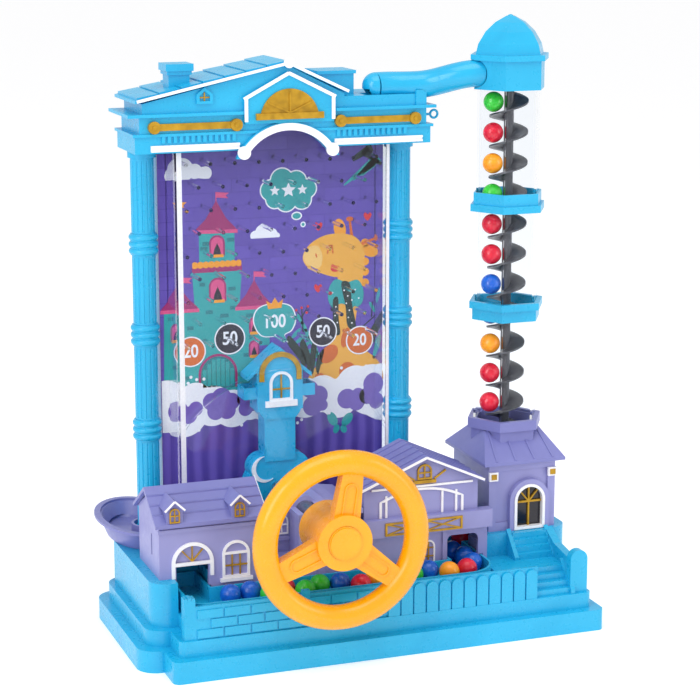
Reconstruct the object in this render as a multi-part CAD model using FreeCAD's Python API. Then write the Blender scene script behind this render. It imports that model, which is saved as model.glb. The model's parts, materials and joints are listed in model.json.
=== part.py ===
import FreeCAD, Part
import math
import os

# Castle ball-catching game, standing on a table. Millimetres, +Z up.
# x = 0 is the middle of the plinth's front edge, y = 0 that edge, z = 0 the table.
# +Y runs to the back of the toy.

V = FreeCAD.Vector

# ---------------------------------------------------------------- plinth
PLINTH_LEFT = -159.3
PLINTH_RIGHT = 152.5
PLINTH_BACK = 150.0
APRON_LEFT = -144.5
WING_FRONT = 24.0
STEP_INSET = 6.6
TIER_1_TOP = 14.4
TIER_2_TOP = 25.0
BED_TOP = 33.9
LANDING_TOP = 41.0
BODY_TOP = 54.0
PLATFORM_TOP = 57.0
PLATFORM_RIGHT = 151.0
PLATFORM_FRONT = 54.0
WALL = 2.2
FLOOR_GAP = 0.3

# ---------------------------------------------------------------- houses
HOUSE_FRONT = 45.0
SKIRT = 3.0
LEFT_X = (-141.0, -69.5)
MID_X = (-47.2, -4.3)
MID_WALL_Y = 66.0
SKIRT_TOP = 57.2
RIGHT_X = (-4.0, 86.0)
UPPER_X = (-2.0, 79.0)
EAVE_Z = 91.0
LEFT_RIDGE_Z = 107.7
LEFT_BACK = 95.0
MID_EAVE_Z = 87.6
MID_SLOPE = 0.226
COURSE_W = 11.2
MID_BACK = 100.0
BALCONY_Z = (67.0, 79.0)
GABLE_EAVE_Z = 101.0
GABLE_APEX_Z = 119.5
GABLE_X = 40.5
GABLE_BACK = 92.0
ROOF_T = 2.4
GARAGE_X = (56.8, 79.4)
GARAGE_TOP = 62.5
DOOR_X = (-129.6, -108.2)
DOOR_MID = -119.2
DOOR_SPRING = 63.4
TRANSOM_Z = (62.0, 64.2)

# ---------------------------------------------------------------- trough and balls
BALL_R = 6.8
TROUGH_FLOOR = 37.2
TROUGH_RIM = 47.0
TROUGH_WALL = 1.5
TROUGH_FRONT = 12.6
TROUGH_BACK = 40.6
LANE_X = (58.5, 80.5)
LANE_BACK_Y = (76.0, 104.0)

# ---------------------------------------------------------------- board
BOARD_X = -36.0
BOARD_HALF = 79.3
PANEL_Y = 128.8
PANEL_T = 1.2
BOARD_T = 12.0
BOARD_TOP = 330.0
COVER_HALF = 74.0
COVER_Y = 105.5
COVER_T = 2.0
COVER_TOP = 334.0
COLUMN_DX = 89.6
COLUMN_Y = 128.0
COLUMN_R = 7.7
RING_R = 9.6
PEG_R = 1.3
PEG_FRONT = 108.2
PEG_PITCH_X = 16.4
PEG_PITCH_Z = 15.05
PEG_TOP = 310.0
PEG_ROWS = 9

# ---------------------------------------------------------------- pediment
PED_FRONT = 100.0
PED_BACK = 146.0
PED_LEFT = -134.0
PED_RIGHT = 62.0
PED_BOTTOM = 319.0
PED_SHELF = 343.5
APEX_X = -35.0
APEX_Z = 375.0
ROOF_LEFT = (-137.0, 353.0)
ROOF_RIGHT = (6.5, 355.5)
ARCH_R = 33.2
ARCH_Z = 298.0
ARCH_X = -35.4

# ---------------------------------------------------------------- steering and catcher
AXIS_X = -38.5
AXIS_Z = 86.5
WHEEL_R = 50.2
RIM_R = 7.9
SPOKE_LEAN = 8.5
CAP_R = 11.0
WHEEL_Y = -12.0
DRUM_R = 18.0
SHAFT_R = 6.0
SHAFT_FIT = 0.06
SHAFT_BACK = 125.0
CATCH_Y = (109.5, 127.0)
HUB_R = 24.0
LOBE_R = 10.2
LOBE_DX = 10.9
LOBE_DZ = 14.7
GUIDE_R = 83.6

# ---------------------------------------------------------------- lift tower
TOWER_X = 117.5
TOWER_Y = 90.0
HOUSE_X = (93.0, 142.0)
HOUSE_Y = (60.0, 120.0)
HOUSE_TOP = 104.0
TOWER_ROOF_TOP = 123.0
TUBE_SIDE = 23.2
TUBE_T = 1.6
TUBE_FIT = 0.15
COLLAR_SIDE = 25.0
FLANGE_SIDE = 27.2
TUBE_Z = (129.0, 204.4, 279.8, 355.2)
CAP_Z = (355.2, 375.0)
DOME_TIP = 403.0
AUGER_SHAFT_R = 3.2
FLIGHT_R = 13.0
FLIGHT_T = 1.5
AUGER_PITCH = 20.55
AUGER_Z = (30.0, 366.0)
FLIGHT_Z = (38.4, 356.0)
LIFT_BALL_R = 11.2

# ---------------------------------------------------------------- bowl behind the left column
BOWL_X = -130.0
BOWL_Y = 147.0
BOWL_NOTCH_X = -116.3
BOWL_NOTCH_Y = 146.8
BOWL_SLEEVE_R = 10.3
BOWL_FLOOR = 57.6

# ---------------------------------------------------------------- drive and battery bay
GEAR_Z = (22.0, 27.0)
GEAR_TEETH = 40
PINION_TEETH = 10
GEAR_MODULE = 0.8
CELL_R = 7.2
CELL_L = 50.0
BAY_X = (-60.0, -6.0)
BAY_Y = (60.0, 112.0)


# ================================================================ helpers
def box(x0, x1, y0, y1, z0, z1):
    return Part.makeBox(x1 - x0, y1 - y0, z1 - z0, V(x0, y0, z0))


def cyl_y(x, z, r, y0, y1):
    return Part.makeCylinder(r, y1 - y0, V(x, y0, z), V(0, 1, 0))


def cyl_z(x, y, r, z0, z1):
    return Part.makeCylinder(r, z1 - z0, V(x, y, z0), V(0, 0, 1))


def cyl_x(y, z, r, x0, x1):
    return Part.makeCylinder(r, x1 - x0, V(x0, y, z), V(1, 0, 0))


def prism_z(points, z0, z1):
    loop = [V(x, y, z0) for x, y in points]
    face = Part.Face(Part.makePolygon(loop + loop[:1]))
    return face.extrude(V(0, 0, z1 - z0))


def prism_y(points, y0, y1):
    loop = [V(x, y0, z) for x, z in points]
    face = Part.Face(Part.makePolygon(loop + loop[:1]))
    return face.extrude(V(0, y1 - y0, 0))


def prism_x(points, x0, x1):
    loop = [V(x0, y, z) for y, z in points]
    face = Part.Face(Part.makePolygon(loop + loop[:1]))
    return face.extrude(V(x1 - x0, 0, 0))


def fuse(shapes):
    first = shapes[0]
    if len(shapes) == 1:
        return first
    return first.multiFuse(shapes[1:]).removeSplitter()


def group(shapes):
    return Part.makeCompound(shapes)


def bar(p, q, width, y0, y1):
    # straight strip between two points of a front face
    dx = q[0] - p[0]
    dz = q[1] - p[1]
    length = math.hypot(dx, dz)
    nx = -dz / length * width / 2
    nz = dx / length * width / 2
    corners = [
        (p[0] + nx, p[1] + nz),
        (q[0] + nx, q[1] + nz),
        (q[0] - nx, q[1] - nz),
        (p[0] - nx, p[1] - nz),
    ]
    return prism_y(corners, y0, y1)


def arch_block(xc, z0, spring, r, y0, y1):
    # filled round-headed shape
    head = cyl_y(xc, spring, r, y0, y1).common(box(xc - r, xc + r, y0, y1, spring, spring + r))
    return fuse([head, box(xc - r, xc + r, y0, y1, z0, spring)])


def arch_frame(xc, z0, spring, r, t, y0, y1, foot=0.0):
    outer = arch_block(xc, z0, spring, r, y0, y1)
    inner = arch_block(xc, z0 + foot - (1.0 if foot == 0 else 0.0), spring, r - t, y0 - 1, y1 + 1)
    return outer.cut(inner)


def hexagon(side, x, y):
    points = []
    for k in range(6):
        a = math.radians(60 * k)
        points.append((x + side * math.cos(a), y + side * math.sin(a)))
    return points


def hex_prism(side, z0, z1):
    return prism_z(hexagon(side, TOWER_X, TOWER_Y), z0, z1)


def frustum(low, high, z0, z1):
    # solid between two rectangles (x0, x1, y0, y1)
    def ring(r, z):
        loop = [V(r[0], r[2], z), V(r[1], r[2], z), V(r[1], r[3], z), V(r[0], r[3], z)]
        return Part.makePolygon(loop + loop[:1])
    return Part.makeLoft([ring(low, z0), ring(high, z1)], True, True)


def round_upright(shape, r, keep):
    # rounds the upright edges whose middle passes the test
    picked = []
    for edge in shape.Edges:
        a = edge.Vertexes[0].Point
        b = edge.Vertexes[-1].Point
        upright = abs(a.x - b.x) < 0.01 and abs(a.y - b.y) < 0.01
        if upright and abs(a.z - b.z) > 1.0 and keep(a.x, a.y):
            picked.append(edge)
    return shape.makeFillet(r, picked)


# ================================================================ plinth
def tier(inset, z0, z1, corner):
    left = PLINTH_LEFT + inset
    right = PLINTH_RIGHT - inset
    apron = APRON_LEFT + inset * 0.9
    outline = [
        (left, WING_FRONT + inset),
        (apron, WING_FRONT + inset),
        (apron, inset),
        (right, inset),
        (right, PLINTH_BACK - inset * 0.5),
        (left, PLINTH_BACK - inset * 0.5),
    ]
    solid = prism_z(outline, z0, z1)
    solid = round_upright(solid, corner, lambda x, y: x < left + 1)
    return round_upright(solid, corner * 0.35, lambda x, y: y < inset + 1)


def upper_blocks(t):
    # body blocks that stand on the stepped plinth, each drawn in by the wall
    # when the hollow is wanted
    top = BODY_TOP - t
    back = PLINTH_BACK - 5.0 - t
    wing_back = 138.0 - t
    z0 = TIER_2_TOP - 3.0 if t == 0 else TIER_2_TOP - 8.0
    wing = box(-148.0 + t, -131.5 - t, 35.7 + t, wing_back, z0, top)
    wing = round_upright(wing, 12.0 - t, lambda x, y: x < -145 and y < 39)
    blocks = [
        wing,
        box(-132.5 + t, 54.6 - t, 79.5 + t, back, z0, top),
        box(-106.4 + t, 54.6 - t, 48.5 + t, back, z0, top),
        box(53.6 + t, 89.0 - t, 107.0 + t, back, z0, top),
        box(-127.8 + t, 106.0 - t, 10.8 + t, 108.0 - t, z0, BED_TOP - t),
    ]
    if t == 0:
        blocks.append(box(-131.6, -127.0, 15.4, 79.6, z0, BED_TOP))
    return blocks


def platform_block(t):
    z0 = TIER_1_TOP - 2.0 if t == 0 else TIER_1_TOP - 6.0
    solid = box(88.0 + t, PLATFORM_RIGHT - t, PLATFORM_FRONT + t, 145.0 - t, z0, PLATFORM_TOP - t)
    return round_upright(solid, 12.0 - t, lambda x, y: x > 140)


def landing_block(t):
    z0 = TIER_2_TOP - 3.0 if t == 0 else TIER_2_TOP - 8.0
    parts = [box(83.2 + t, 107.0 - t, 10.8 + t, 56.0, z0, LANDING_TOP - t)]
    parts.append(box(83.2 + t, 137.0 - t, 26.0 + t, 56.0, z0, LANDING_TOP - t))
    return parts


def stair(x0, x1, y0, run, rise, count, z0, floor):
    steps = []
    for k in range(count):
        steps.append(box(x0, x1, y0 + k * run, y0 + count * run + 2.0, floor, z0 + (k + 1) * rise))
    return steps


def stringer(x0, x1, y0, y1, z0, z1, lip):
    outline = [(y0, z0 - 1.0), (y0, z0 + lip), (y1, z1 + lip), (y1, z0 - 1.0)]
    return prism_x(outline, x0, x1)


def parapet():
    post = fuse([
        box(131.2, 143.5, 9.5, 15.5, TIER_2_TOP - 1, 48.0),
        cyl_y(137.35, 48.0, 6.15, 9.5, 15.5),
    ])
    wall = prism_x([(15.0, 24.0), (15.0, 46.5), (40.0, 50.5), (55.0, 58.0), (55.0, 24.0)], 133.2, 138.6)
    rail = prism_x([(7.5, 24.0), (7.5, 28.0), (26.0, 44.5), (26.0, 24.0)], 131.0, 134.0)
    return [post, wall, rail]


def rear_sockets():
    # two pads that carry the board and its columns
    pads = []
    for side in (-1, 1):
        x = BOARD_X + side * COLUMN_DX
        pads.append(box(x - 9.8, x + 9.8, COLUMN_Y - 10, COLUMN_Y + 10, BODY_TOP - 3, BODY_TOP + 3))
    return pads


def base_shell():
    outer = [
        tier(0.0, 0.0, TIER_1_TOP, 13.5),
        tier(STEP_INSET, TIER_1_TOP - 1.0, TIER_2_TOP, 12.5),
        platform_block(0),
    ]
    outer += upper_blocks(0)
    outer += landing_block(0)
    outer += stair(107.0, 131.2, 9.6, 4.1, 4.0, 4, TIER_2_TOP, TIER_2_TOP - 1)
    outer += stair(107.6, 132.4, 41.0, 3.3, 4.0, 4, LANDING_TOP, LANDING_TOP - 1)
    outer.append(stringer(104.6, 107.6, 40.0, 55.0, LANDING_TOP, PLATFORM_TOP, 2.2))
    outer.append(stringer(132.4, 135.4, 40.0, 55.0, LANDING_TOP, PLATFORM_TOP, 2.2))
    outer += parapet()
    outer += rear_sockets()
    solid = fuse(outer)
    hollow = [
        tier(WALL, -1.0, TIER_1_TOP - WALL, 11.5),
        tier(STEP_INSET + WALL, -1.0, TIER_2_TOP - WALL, 10.5),
        platform_block(WALL),
    ]
    hollow += upper_blocks(WALL)
    hollow += landing_block(WALL)
    solid = solid.cut(fuse(hollow))
    lane = [
        box(82.0, 92.5, LANE_BACK_Y[0] - 4, LANE_BACK_Y[1] + 2.2, BED_TOP - 0.2, PLATFORM_TOP - WALL),
        cyl_z(TOWER_X, TOWER_Y, 19.6, BODY_TOP - 2, PLATFORM_TOP + 1),
    ]
    for x, y in foot_points():
        lane.append(cyl_z(x, y, 3.0, -1.0, 2.0))
    return solid.cut(fuse(lane))


def foot_points():
    return [(-145.0, 140.0), (138.0, 140.0), (-130.0, 12.0), (138.0, 12.0)]


def screw_bosses():
    return [(-120.0, 50.0), (120.0, 28.0), (-120.0, 138.0), (40.0, 138.0), (92.0, 60.0)]


def plate_outline(gap):
    t = WALL + gap
    return [
        (PLINTH_LEFT + t + 8, WING_FRONT + t + 3),
        (APRON_LEFT + t + 2, WING_FRONT + t + 3),
        (APRON_LEFT + t + 2, t + 2),
        (PLINTH_RIGHT - t - 2, t + 2),
        (PLINTH_RIGHT - t - 2, PLINTH_BACK - t - 1),
        (PLINTH_LEFT + t + 8, PLINTH_BACK - t - 4),
    ]


def bottom_plate():
    plate = prism_z(plate_outline(0.3), 2.0, 4.0)
    x0, x1 = BAY_X
    y0, y1 = BAY_Y
    bay = box(x0 - 2, x1 + 2, y0 - 2, y1 + 2, 2.0, 20.6)
    bay = bay.cut(box(x0, x1, y0, y1, 1.0, 18.6))
    plate = plate.cut(box(x0, x1, y0, y1, 1.0, 5.0))
    solid = fuse([plate, bay])
    motor_seat = box(66.0, 100.0, 104.6, 126.4, 4.0, 12.0)
    motor_seat = motor_seat.cut(cyl_x(115.5, 14.5, 10.45, 60.0, 110.0))
    post = cyl_z(TOWER_X, TOWER_Y, 7.0, 4.0, 20.5)
    solid = fuse([solid, motor_seat, post])
    solid = solid.cut(cyl_z(TOWER_X, TOWER_Y, 2.5 + SHAFT_FIT, 8.0, 30.0))
    for x, y in screw_bosses():
        solid = solid.cut(cyl_z(x, y, 1.6, 0.0, 6.0))
        solid = solid.cut(cyl_z(x, y, 3.1, 0.0, 2.9))
    switch = box(-100.3, -85.7, 86.7, 97.3, 1.0, 12.0)
    return solid.cut(switch)


def battery_door():
    x0, x1 = BAY_X
    y0, y1 = BAY_Y
    door = box(x0 + 0.3, x1 - 0.3, y0 + 0.3, y1 - 0.3, 0.9, 2.6)
    ribs = [box(x0 + 6, x1 - 6, y0 + 8 + 6 * k, y0 + 10 + 6 * k, 0.5, 0.9) for k in range(7)]
    door = fuse([door] + ribs)
    return door.cut(cyl_z((x0 + x1) / 2, y0 + 4.2, 1.5, 0.0, 5.0))


def battery_door_screw():
    x = (BAY_X[0] + BAY_X[1]) / 2
    y = BAY_Y[0] + 4.2
    head = cyl_z(x, y, 2.6, -0.1 + 0.2, 0.88)
    stem = cyl_z(x, y, 1.2, 0.88, 6.0)
    slot = box(x - 2.0, x + 2.0, y - 0.3, y + 0.3, 0.0, 0.45)
    return fuse([head, stem]).cut(slot)


def cell_rows():
    return [BAY_Y[0] + 11.0 + 15.0 * k for k in range(3)]


def batteries():
    cells = []
    x0 = (BAY_X[0] + BAY_X[1] - CELL_L) / 2
    for k, y in enumerate(cell_rows()):
        can = cyl_x(y, 10.4, CELL_R, x0 + 1.0, x0 + CELL_L - 1.8)
        nub_x = x0 + CELL_L - 1.8 if k % 2 == 0 else x0 - 0.2
        cells.append(fuse([can, cyl_x(y, 10.4, 2.6, nub_x, nub_x + 1.2)]))
    return group(cells)


def battery_contacts():
    plates = []
    for y in cell_rows():
        plates.append(box(BAY_X[0] + 0.1, BAY_X[0] + 0.5, y - 5, y + 5, 5.0, 15.5))
        plates.append(box(BAY_X[1] - 0.5, BAY_X[1] - 0.1, y - 5, y + 5, 5.0, 15.5))
    return group(plates)


def rubber_feet():
    feet = []
    for x, y in foot_points():
        foot = fuse([cyl_z(x, y, 2.9, 0.6, 2.0 - 0.05), cyl_z(x, y, 4.2, 0.0, 0.6)])
        feet.append(foot)
    return group(feet)


def power_switch_body():
    body = box(-100.0, -86.0, 87.0, 97.0, 3.2, 11.0)
    return body.cut(box(-98.0, -88.0, 89.5, 94.5, 2.0, 8.0))


def power_switch_slider():
    knob = box(-97.0, -92.5, 90.0, 94.0, 1.2, 3.4)
    guide = box(-97.6, -91.9, 89.8, 94.2, 3.4, 7.6)
    return fuse([knob, guide])


# ================================================================ front wall, trough
def front_wall():
    wall = box(-128.0, 106.6, 8.4, 10.6, TIER_2_TOP, 46.6)
    end = box(-135.2, -128.0, 8.4, 15.0, TIER_2_TOP, 51.0)
    caps = [box(-135.2 + 2.4 * k, -133.0 + 2.4 * k, 8.4, 15.0, 51.0, 52.2 + 0.6 * (k % 2)) for k in range(3)]
    stub = box(-58.0, -53.0, 7.0, 10.6, 40.0, 49.5)
    return fuse([wall, end, stub] + caps + wall_bricks() + pickets())


def wall_bricks():
    bricks = []
    rows = [(26.0, 31.4, 0.0), (32.4, 37.8, 9.0), (38.8, 44.2, 0.0)]
    for z0, z1, shift in rows:
        x = -127.0 + shift
        while x + 16.6 < 0.0:
            bricks.append(box(x, x + 16.6, 7.5, 8.4, z0, z1))
            x += 17.8
    return bricks


def pickets():
    slats = []
    for k in range(12):
        x0 = 0.6 + 8.85 * k
        xc = x0 + 3.9
        slats.append(box(x0, x0 + 7.8, 6.9, 8.4, TIER_2_TOP, 41.4))
        slats.append(cyl_y(xc, 41.4, 3.9, 6.9, 8.4))
    return slats


def trough_plan(grow, z0, z1):
    g = grow
    right_x = (LANE_X[0] + LANE_X[1]) / 2
    half = (LANE_X[1] - LANE_X[0]) / 2
    bend_r = 21.0
    bend_x = LANE_X[1] - bend_r
    bend_y = TROUGH_FRONT + bend_r
    pieces = [
        box(-119.0, bend_x, TROUGH_FRONT - g, TROUGH_BACK + g, z0, z1),
        cyl_z(bend_x, bend_y, bend_r + g, z0, z1).common(
            box(bend_x, bend_x + 40, bend_y - 40, bend_y, z0, z1)),
        box(right_x - half - g, right_x + half + g, bend_y, LANE_BACK_Y[1] + g, z0, z1),
        box(right_x, TOWER_X, LANE_BACK_Y[0] - g, LANE_BACK_Y[1] + g, z0, z1),
        cyl_z(TOWER_X, TOWER_Y, 14.8 + g, z0, z1),
        box(DOOR_X[0] + 1.6 - g, DOOR_X[1] - 1.4 + g, 22.6, 76.0 + g, z0, z1),
        cyl_z(-118.0, 22.6, 10.0 + g, z0, z1),
    ]
    return fuse(pieces)


def ball_trough():
    outer = trough_plan(TROUGH_WALL, BED_TOP, TROUGH_RIM)
    inner = trough_plan(0.0, TROUGH_FLOOR, TROUGH_RIM + 1)
    solid = outer.cut(inner)
    drain = cyl_z(TOWER_X, TOWER_Y, 5.0, BED_TOP - 1, TROUGH_FLOOR + 1)
    return solid.cut(drain)


TROUGH_BALLS = {
    "blue": [
        (-98.2, 31.5), (-84.5, 33.2), (-24.6, 29.2), (39.0, 33.4), (72.9, 39.6), (73.2, 53.6),
        (70.0, 67.3)
    ],
    "green": [(-73.5, 24.6), (-50.3, 23.5), (-38.2, 30.6), (26.1, 28.8)],
    "red": [(-61.5, 31.8), (-12.9, 22.0), (64.4, 28.6), (86.0, 90.0)],
    "orange": [(-0.9, 28.6), (50.8, 26.3)],
}

# turn of the screw on which each lifted ball rides, counted from the foot
LIFT_BALLS = {
    "red": [4, 5, 9, 10, 13],
    "blue": [7, 3, 8],
    "green": [1, 11, 14],
    "orange": [6, 12, 2],
}


def trough_balls(colour):
    z = TROUGH_FLOOR + BALL_R
    return group([Part.makeSphere(BALL_R, V(x, y, z)) for x, y in TROUGH_BALLS[colour]])


def lift_balls(colour):
    balls = []
    for turn in LIFT_BALLS[colour]:
        z = FLIGHT_Z[0] + AUGER_PITCH * (turn + 0.5) + FLIGHT_T + BALL_R + 0.8
        balls.append(Part.makeSphere(BALL_R, V(TOWER_X - LIFT_BALL_R, TOWER_Y, z)))
    return group(balls)


# ================================================================ lift tower
def auger_helix(r):
    height = FLIGHT_Z[1] - FLIGHT_Z[0] - FLIGHT_T
    wire = Part.makeHelix(AUGER_PITCH, height, r)
    wire.translate(V(TOWER_X, TOWER_Y, FLIGHT_Z[0]))
    return wire


def auger():
    shaft = cyl_z(TOWER_X, TOWER_Y, AUGER_SHAFT_R, GEAR_Z[1], AUGER_Z[1])
    pin = cyl_z(TOWER_X, TOWER_Y, 2.5, 8.6, GEAR_Z[1])
    x = TOWER_X + AUGER_SHAFT_R - 0.6
    z = FLIGHT_Z[0]
    width = FLIGHT_R - AUGER_SHAFT_R + 0.6
    loop = [V(x, TOWER_Y, z), V(x + width, TOWER_Y, z)]
    loop += [V(x + width, TOWER_Y, z + FLIGHT_T * 0.8), V(x, TOWER_Y, z + FLIGHT_T)]
    profile = Part.makePolygon(loop + loop[:1])
    pipe = Part.BRepOffsetAPI.MakePipeShell(auger_helix(FLIGHT_R))
    pipe.setFrenetMode(True)
    pipe.add(profile)
    pipe.build()
    pipe.makeSolid()
    flight = pipe.shape()
    return shaft.fuse(pin).fuse(flight)


def hollow_hex(side, t, z0, z1):
    return hex_prism(side, z0, z1).cut(hex_prism(side - t / math.cos(math.radians(30)), z0 - 1, z1 + 1))


def tower_tubes():
    tubes = []
    for z0, z1 in zip(TUBE_Z[:-1], TUBE_Z[1:]):
        tubes.append(hollow_hex(TUBE_SIDE, TUBE_T, z0 + 0.2, z1 - 0.2))
    return group(tubes)


def tower_collars():
    rings = []
    for z, up in ((TUBE_Z[1], 1), (TUBE_Z[2], -1)):
        reach = sorted((z - up * 5.6, z + up * 5.6))
        flange = sorted((z + up * 2.2, z + up * 7.0))
        band = fuse([hex_prism(COLLAR_SIDE, *reach), hex_prism(FLANGE_SIDE, *flange)])
        rings.append(band.cut(hex_prism(TUBE_SIDE + TUBE_FIT, z - 9, z + 9)))
    return group(rings)


def tower_cap():
    body = fuse(
        [hex_prism(COLLAR_SIDE + 0.6, CAP_Z[0] - 1.0, CAP_Z[1]), hex_prism(FLANGE_SIDE + 1.2, 373.4, 377.2)]
    )
    body = body.cut(hex_prism(COLLAR_SIDE - 1.6, CAP_Z[0] - 2.0, 374.6))
    body = body.cut(cyl_z(TOWER_X, TOWER_Y, AUGER_SHAFT_R + SHAFT_FIT, 370.0, 372.0))
    port = Part.makeCylinder(7.6, 30.0, V(TOWER_X, TOWER_Y, 364.6), V(-1, 0.02, 0))
    seat = Part.makeCylinder(9.3, 10.0, V(TOWER_X - 20.0, TOWER_Y, 364.6), V(-1, 0.02, 0))
    hanger = cyl_z(TOWER_X, TOWER_Y, 5.0, 362.0, 374.8).cut(
        cyl_z(TOWER_X, TOWER_Y, AUGER_SHAFT_R + SHAFT_FIT, 360.0, 366.2))
    body = body.cut(port)
    body = body.cut(seat)
    return fuse([body, hanger])


def tower_dome():
    low = hexagon(FLANGE_SIDE - 2.4, TOWER_X, TOWER_Y)
    rings = []
    for z, k in ((377.2, 1.0), (384.0, 0.93), (392.0, 0.72), (398.0, 0.44), (402.0, 0.12)):
        pts = [V(TOWER_X + (x - TOWER_X) * k, TOWER_Y + (y - TOWER_Y) * k, z) for x, y in low]
        rings.append(Part.makePolygon(pts + pts[:1]))
    dome = Part.makeLoft(rings, True, True)
    finial = Part.makeSphere(2.6, V(TOWER_X, TOWER_Y, DOME_TIP - 2.6))
    return fuse([dome, finial])


def pipe_route():
    return [
        V(96.2, 90.4, 364.6), V(88.0, 91.5, 364.2), V(76.0, 98.0, 361.0),
        V(64.0, 106.0, 357.4), V(52.0, 110.0, 356.6), V(30.0, 111.0, 356.6),
    ]


def swept_tube(points, r):
    curve = Part.BSplineCurve()
    curve.interpolate(points)
    wire = Part.Wire(curve.toShape())
    start = curve.value(curve.FirstParameter)
    heading = curve.tangent(curve.FirstParameter)[0]
    ring = Part.Wire(Part.makeCircle(r, start, heading))
    return wire.makePipeShell([ring], True, True)


def chute_pipe():
    outer = swept_tube(pipe_route(), 9.0)
    inner = swept_tube(pipe_route(), 7.5)
    pipe = outer.cut(inner)
    head = Part.makeSphere(9.0, V(30.0, 111.0, 356.6)).cut(Part.makeSphere(7.5, V(30.0, 111.0, 356.6)))
    head = head.common(box(18.0, 30.0, 100.0, 122.0, 345.0, 367.0))
    pipe = fuse([pipe, head])
    mouth = box(21.0, 37.0, 105.0, 117.0, 345.0, 355.0)
    return pipe.cut(mouth)


def tower_house():
    x0, x1 = HOUSE_X
    y0, y1 = HOUSE_Y
    walls = box(x0, x1, y0, y1, PLATFORM_TOP, HOUSE_TOP)
    piers = []
    for x in (x0, x1 - 5.4):
        piers.append(box(x, x + 5.4, y0 - 1.4, y0, PLATFORM_TOP, HOUSE_TOP))
    sill = box(x0, x1, y0 - 1.4, y0, PLATFORM_TOP, PLATFORM_TOP + 6.0)
    lintel = box(x0, x1, y0 - 1.4, y0, HOUSE_TOP - 5.0, HOUSE_TOP)
    hood = arch_frame(122.2, PLATFORM_TOP, 77.6, 14.6, 3.2, y0 - 4.0, y0)
    solid = fuse([walls, sill, lintel, hood] + piers)
    solid = solid.cut(arch_block(122.2, PLATFORM_TOP - 1, 77.6, 11.35, y0 - 5, y0))
    t = WALL
    return solid.cut(box(x0 + t, x1 - t, y0 + t, y1 - t, PLATFORM_TOP - 1, HOUSE_TOP + 1))


def tower_roof():
    x0, x1 = HOUSE_X
    y0, y1 = HOUSE_Y
    eave = (x0 - 5.0, x1 + 5.6, y0 - 5.4, y1 + 4.0)
    top = (x0 + 4.5, x1 - 4.0, TOWER_Y - 12.0, TOWER_Y + 12.0)
    z0 = HOUSE_TOP
    slab = box(eave[0], eave[1], eave[2], eave[3], z0, z0 + 2.0)
    slope = frustum(eave, top, z0 + 2.0, TOWER_ROOF_TOP)
    seams = []
    for x in (100.0, 112.0, 124.0, 136.0):
        foot_x = x + (x - TOWER_X) * 0.15
        seams.append(roof_seam((foot_x, eave[2] + 0.9), (x, TOWER_Y - 12.0), z0 + 2.2, TOWER_ROOF_TOP))
    neck = fuse([
        hex_prism(COLLAR_SIDE - 0.4, z0 + 4.0, 126.0),
        hex_prism(FLANGE_SIDE, 123.6, 130.4),
    ])
    solid = fuse([slab, slope, neck] + seams)
    bore = hex_prism(TUBE_SIDE - 2.4, z0 - 1, 132.0)
    rebate = hex_prism(TUBE_SIDE + TUBE_FIT, TUBE_Z[0], 132.0)
    return solid.cut(bore).cut(rebate)


def roof_seam(foot, head, z0, z1):
    a = V(foot[0], foot[1], z0)
    b = V(head[0], head[1], z1)
    along = b - a
    side = V(0.7, 0, 0)
    up = V(0, -0.35, 0.75)
    loop = [a - side - up, a + side - up, a + side + up, a - side + up]
    return Part.Face(Part.makePolygon(loop + loop[:1])).extrude(along)


def tower_window_frame():
    y1 = HOUSE_Y[0]
    frame = arch_frame(122.2, PLATFORM_TOP + 0.4, 77.6, 11.3, 1.9, y1 - 4.6, y1, 2.0)
    squares = []
    for x in (95.7, 139.3):
        squares.append(box(x - 3.2, x + 3.2, y1 - 3.4, y1 - 1.4, 93.0, 99.0))
    return group([frame] + squares)


def tower_window_gold():
    y0 = HOUSE_Y[0] - 2.4
    y1 = HOUSE_Y[0] - 0.9
    xc = 122.2
    r = 9.35
    parts = [
        bar((xc, PLATFORM_TOP + 2.6), (xc, 77.6 + r - 0.3), 1.1, y0, y1),
        bar((xc - r, 76.4), (xc + r, 76.4), 1.3, y0, y1),
        bar((xc, 76.4), (xc - 6.5, 84.0), 1.0, y0, y1),
        bar((xc, 76.4), (xc + 6.5, 84.0), 1.0, y0, y1),
    ]
    solids = [fuse(parts)]
    for x in (95.7, 139.3):
        solids.append(box(x - 1.9, x + 1.9, HOUSE_Y[0] - 4.0, HOUSE_Y[0] - 3.4, 94.2, 97.8))
    return group(solids)


def tower_window_pane():
    y1 = HOUSE_Y[0]
    return arch_block(122.2, PLATFORM_TOP + 2.5, 77.6, 9.3, y1 - 0.9, y1)


# ================================================================ left house
def gable_roof_x(x0, x1, y0, y1, eave, ridge, t):
    # roof whose ridge runs from side to side
    ym = (y0 + y1) / 2
    slab = prism_x(
        [(y0, eave), (ym, ridge), (y1, eave), (y1, eave - t), (ym, ridge - t), (y0, eave - t)], x0,
        x1
    )
    return slab


def dormer(xc, z0, half, wall_top, apex, y0, y1):
    return prism_y(
        [(xc - half, z0), (xc + half, z0), (xc + half, wall_top), (xc, apex), (xc - half, wall_top)],
        y0, y1
    )


DORMER_X = (-131.2, -88.2)
DORMER_Y = HOUSE_FRONT - 2.6


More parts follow.
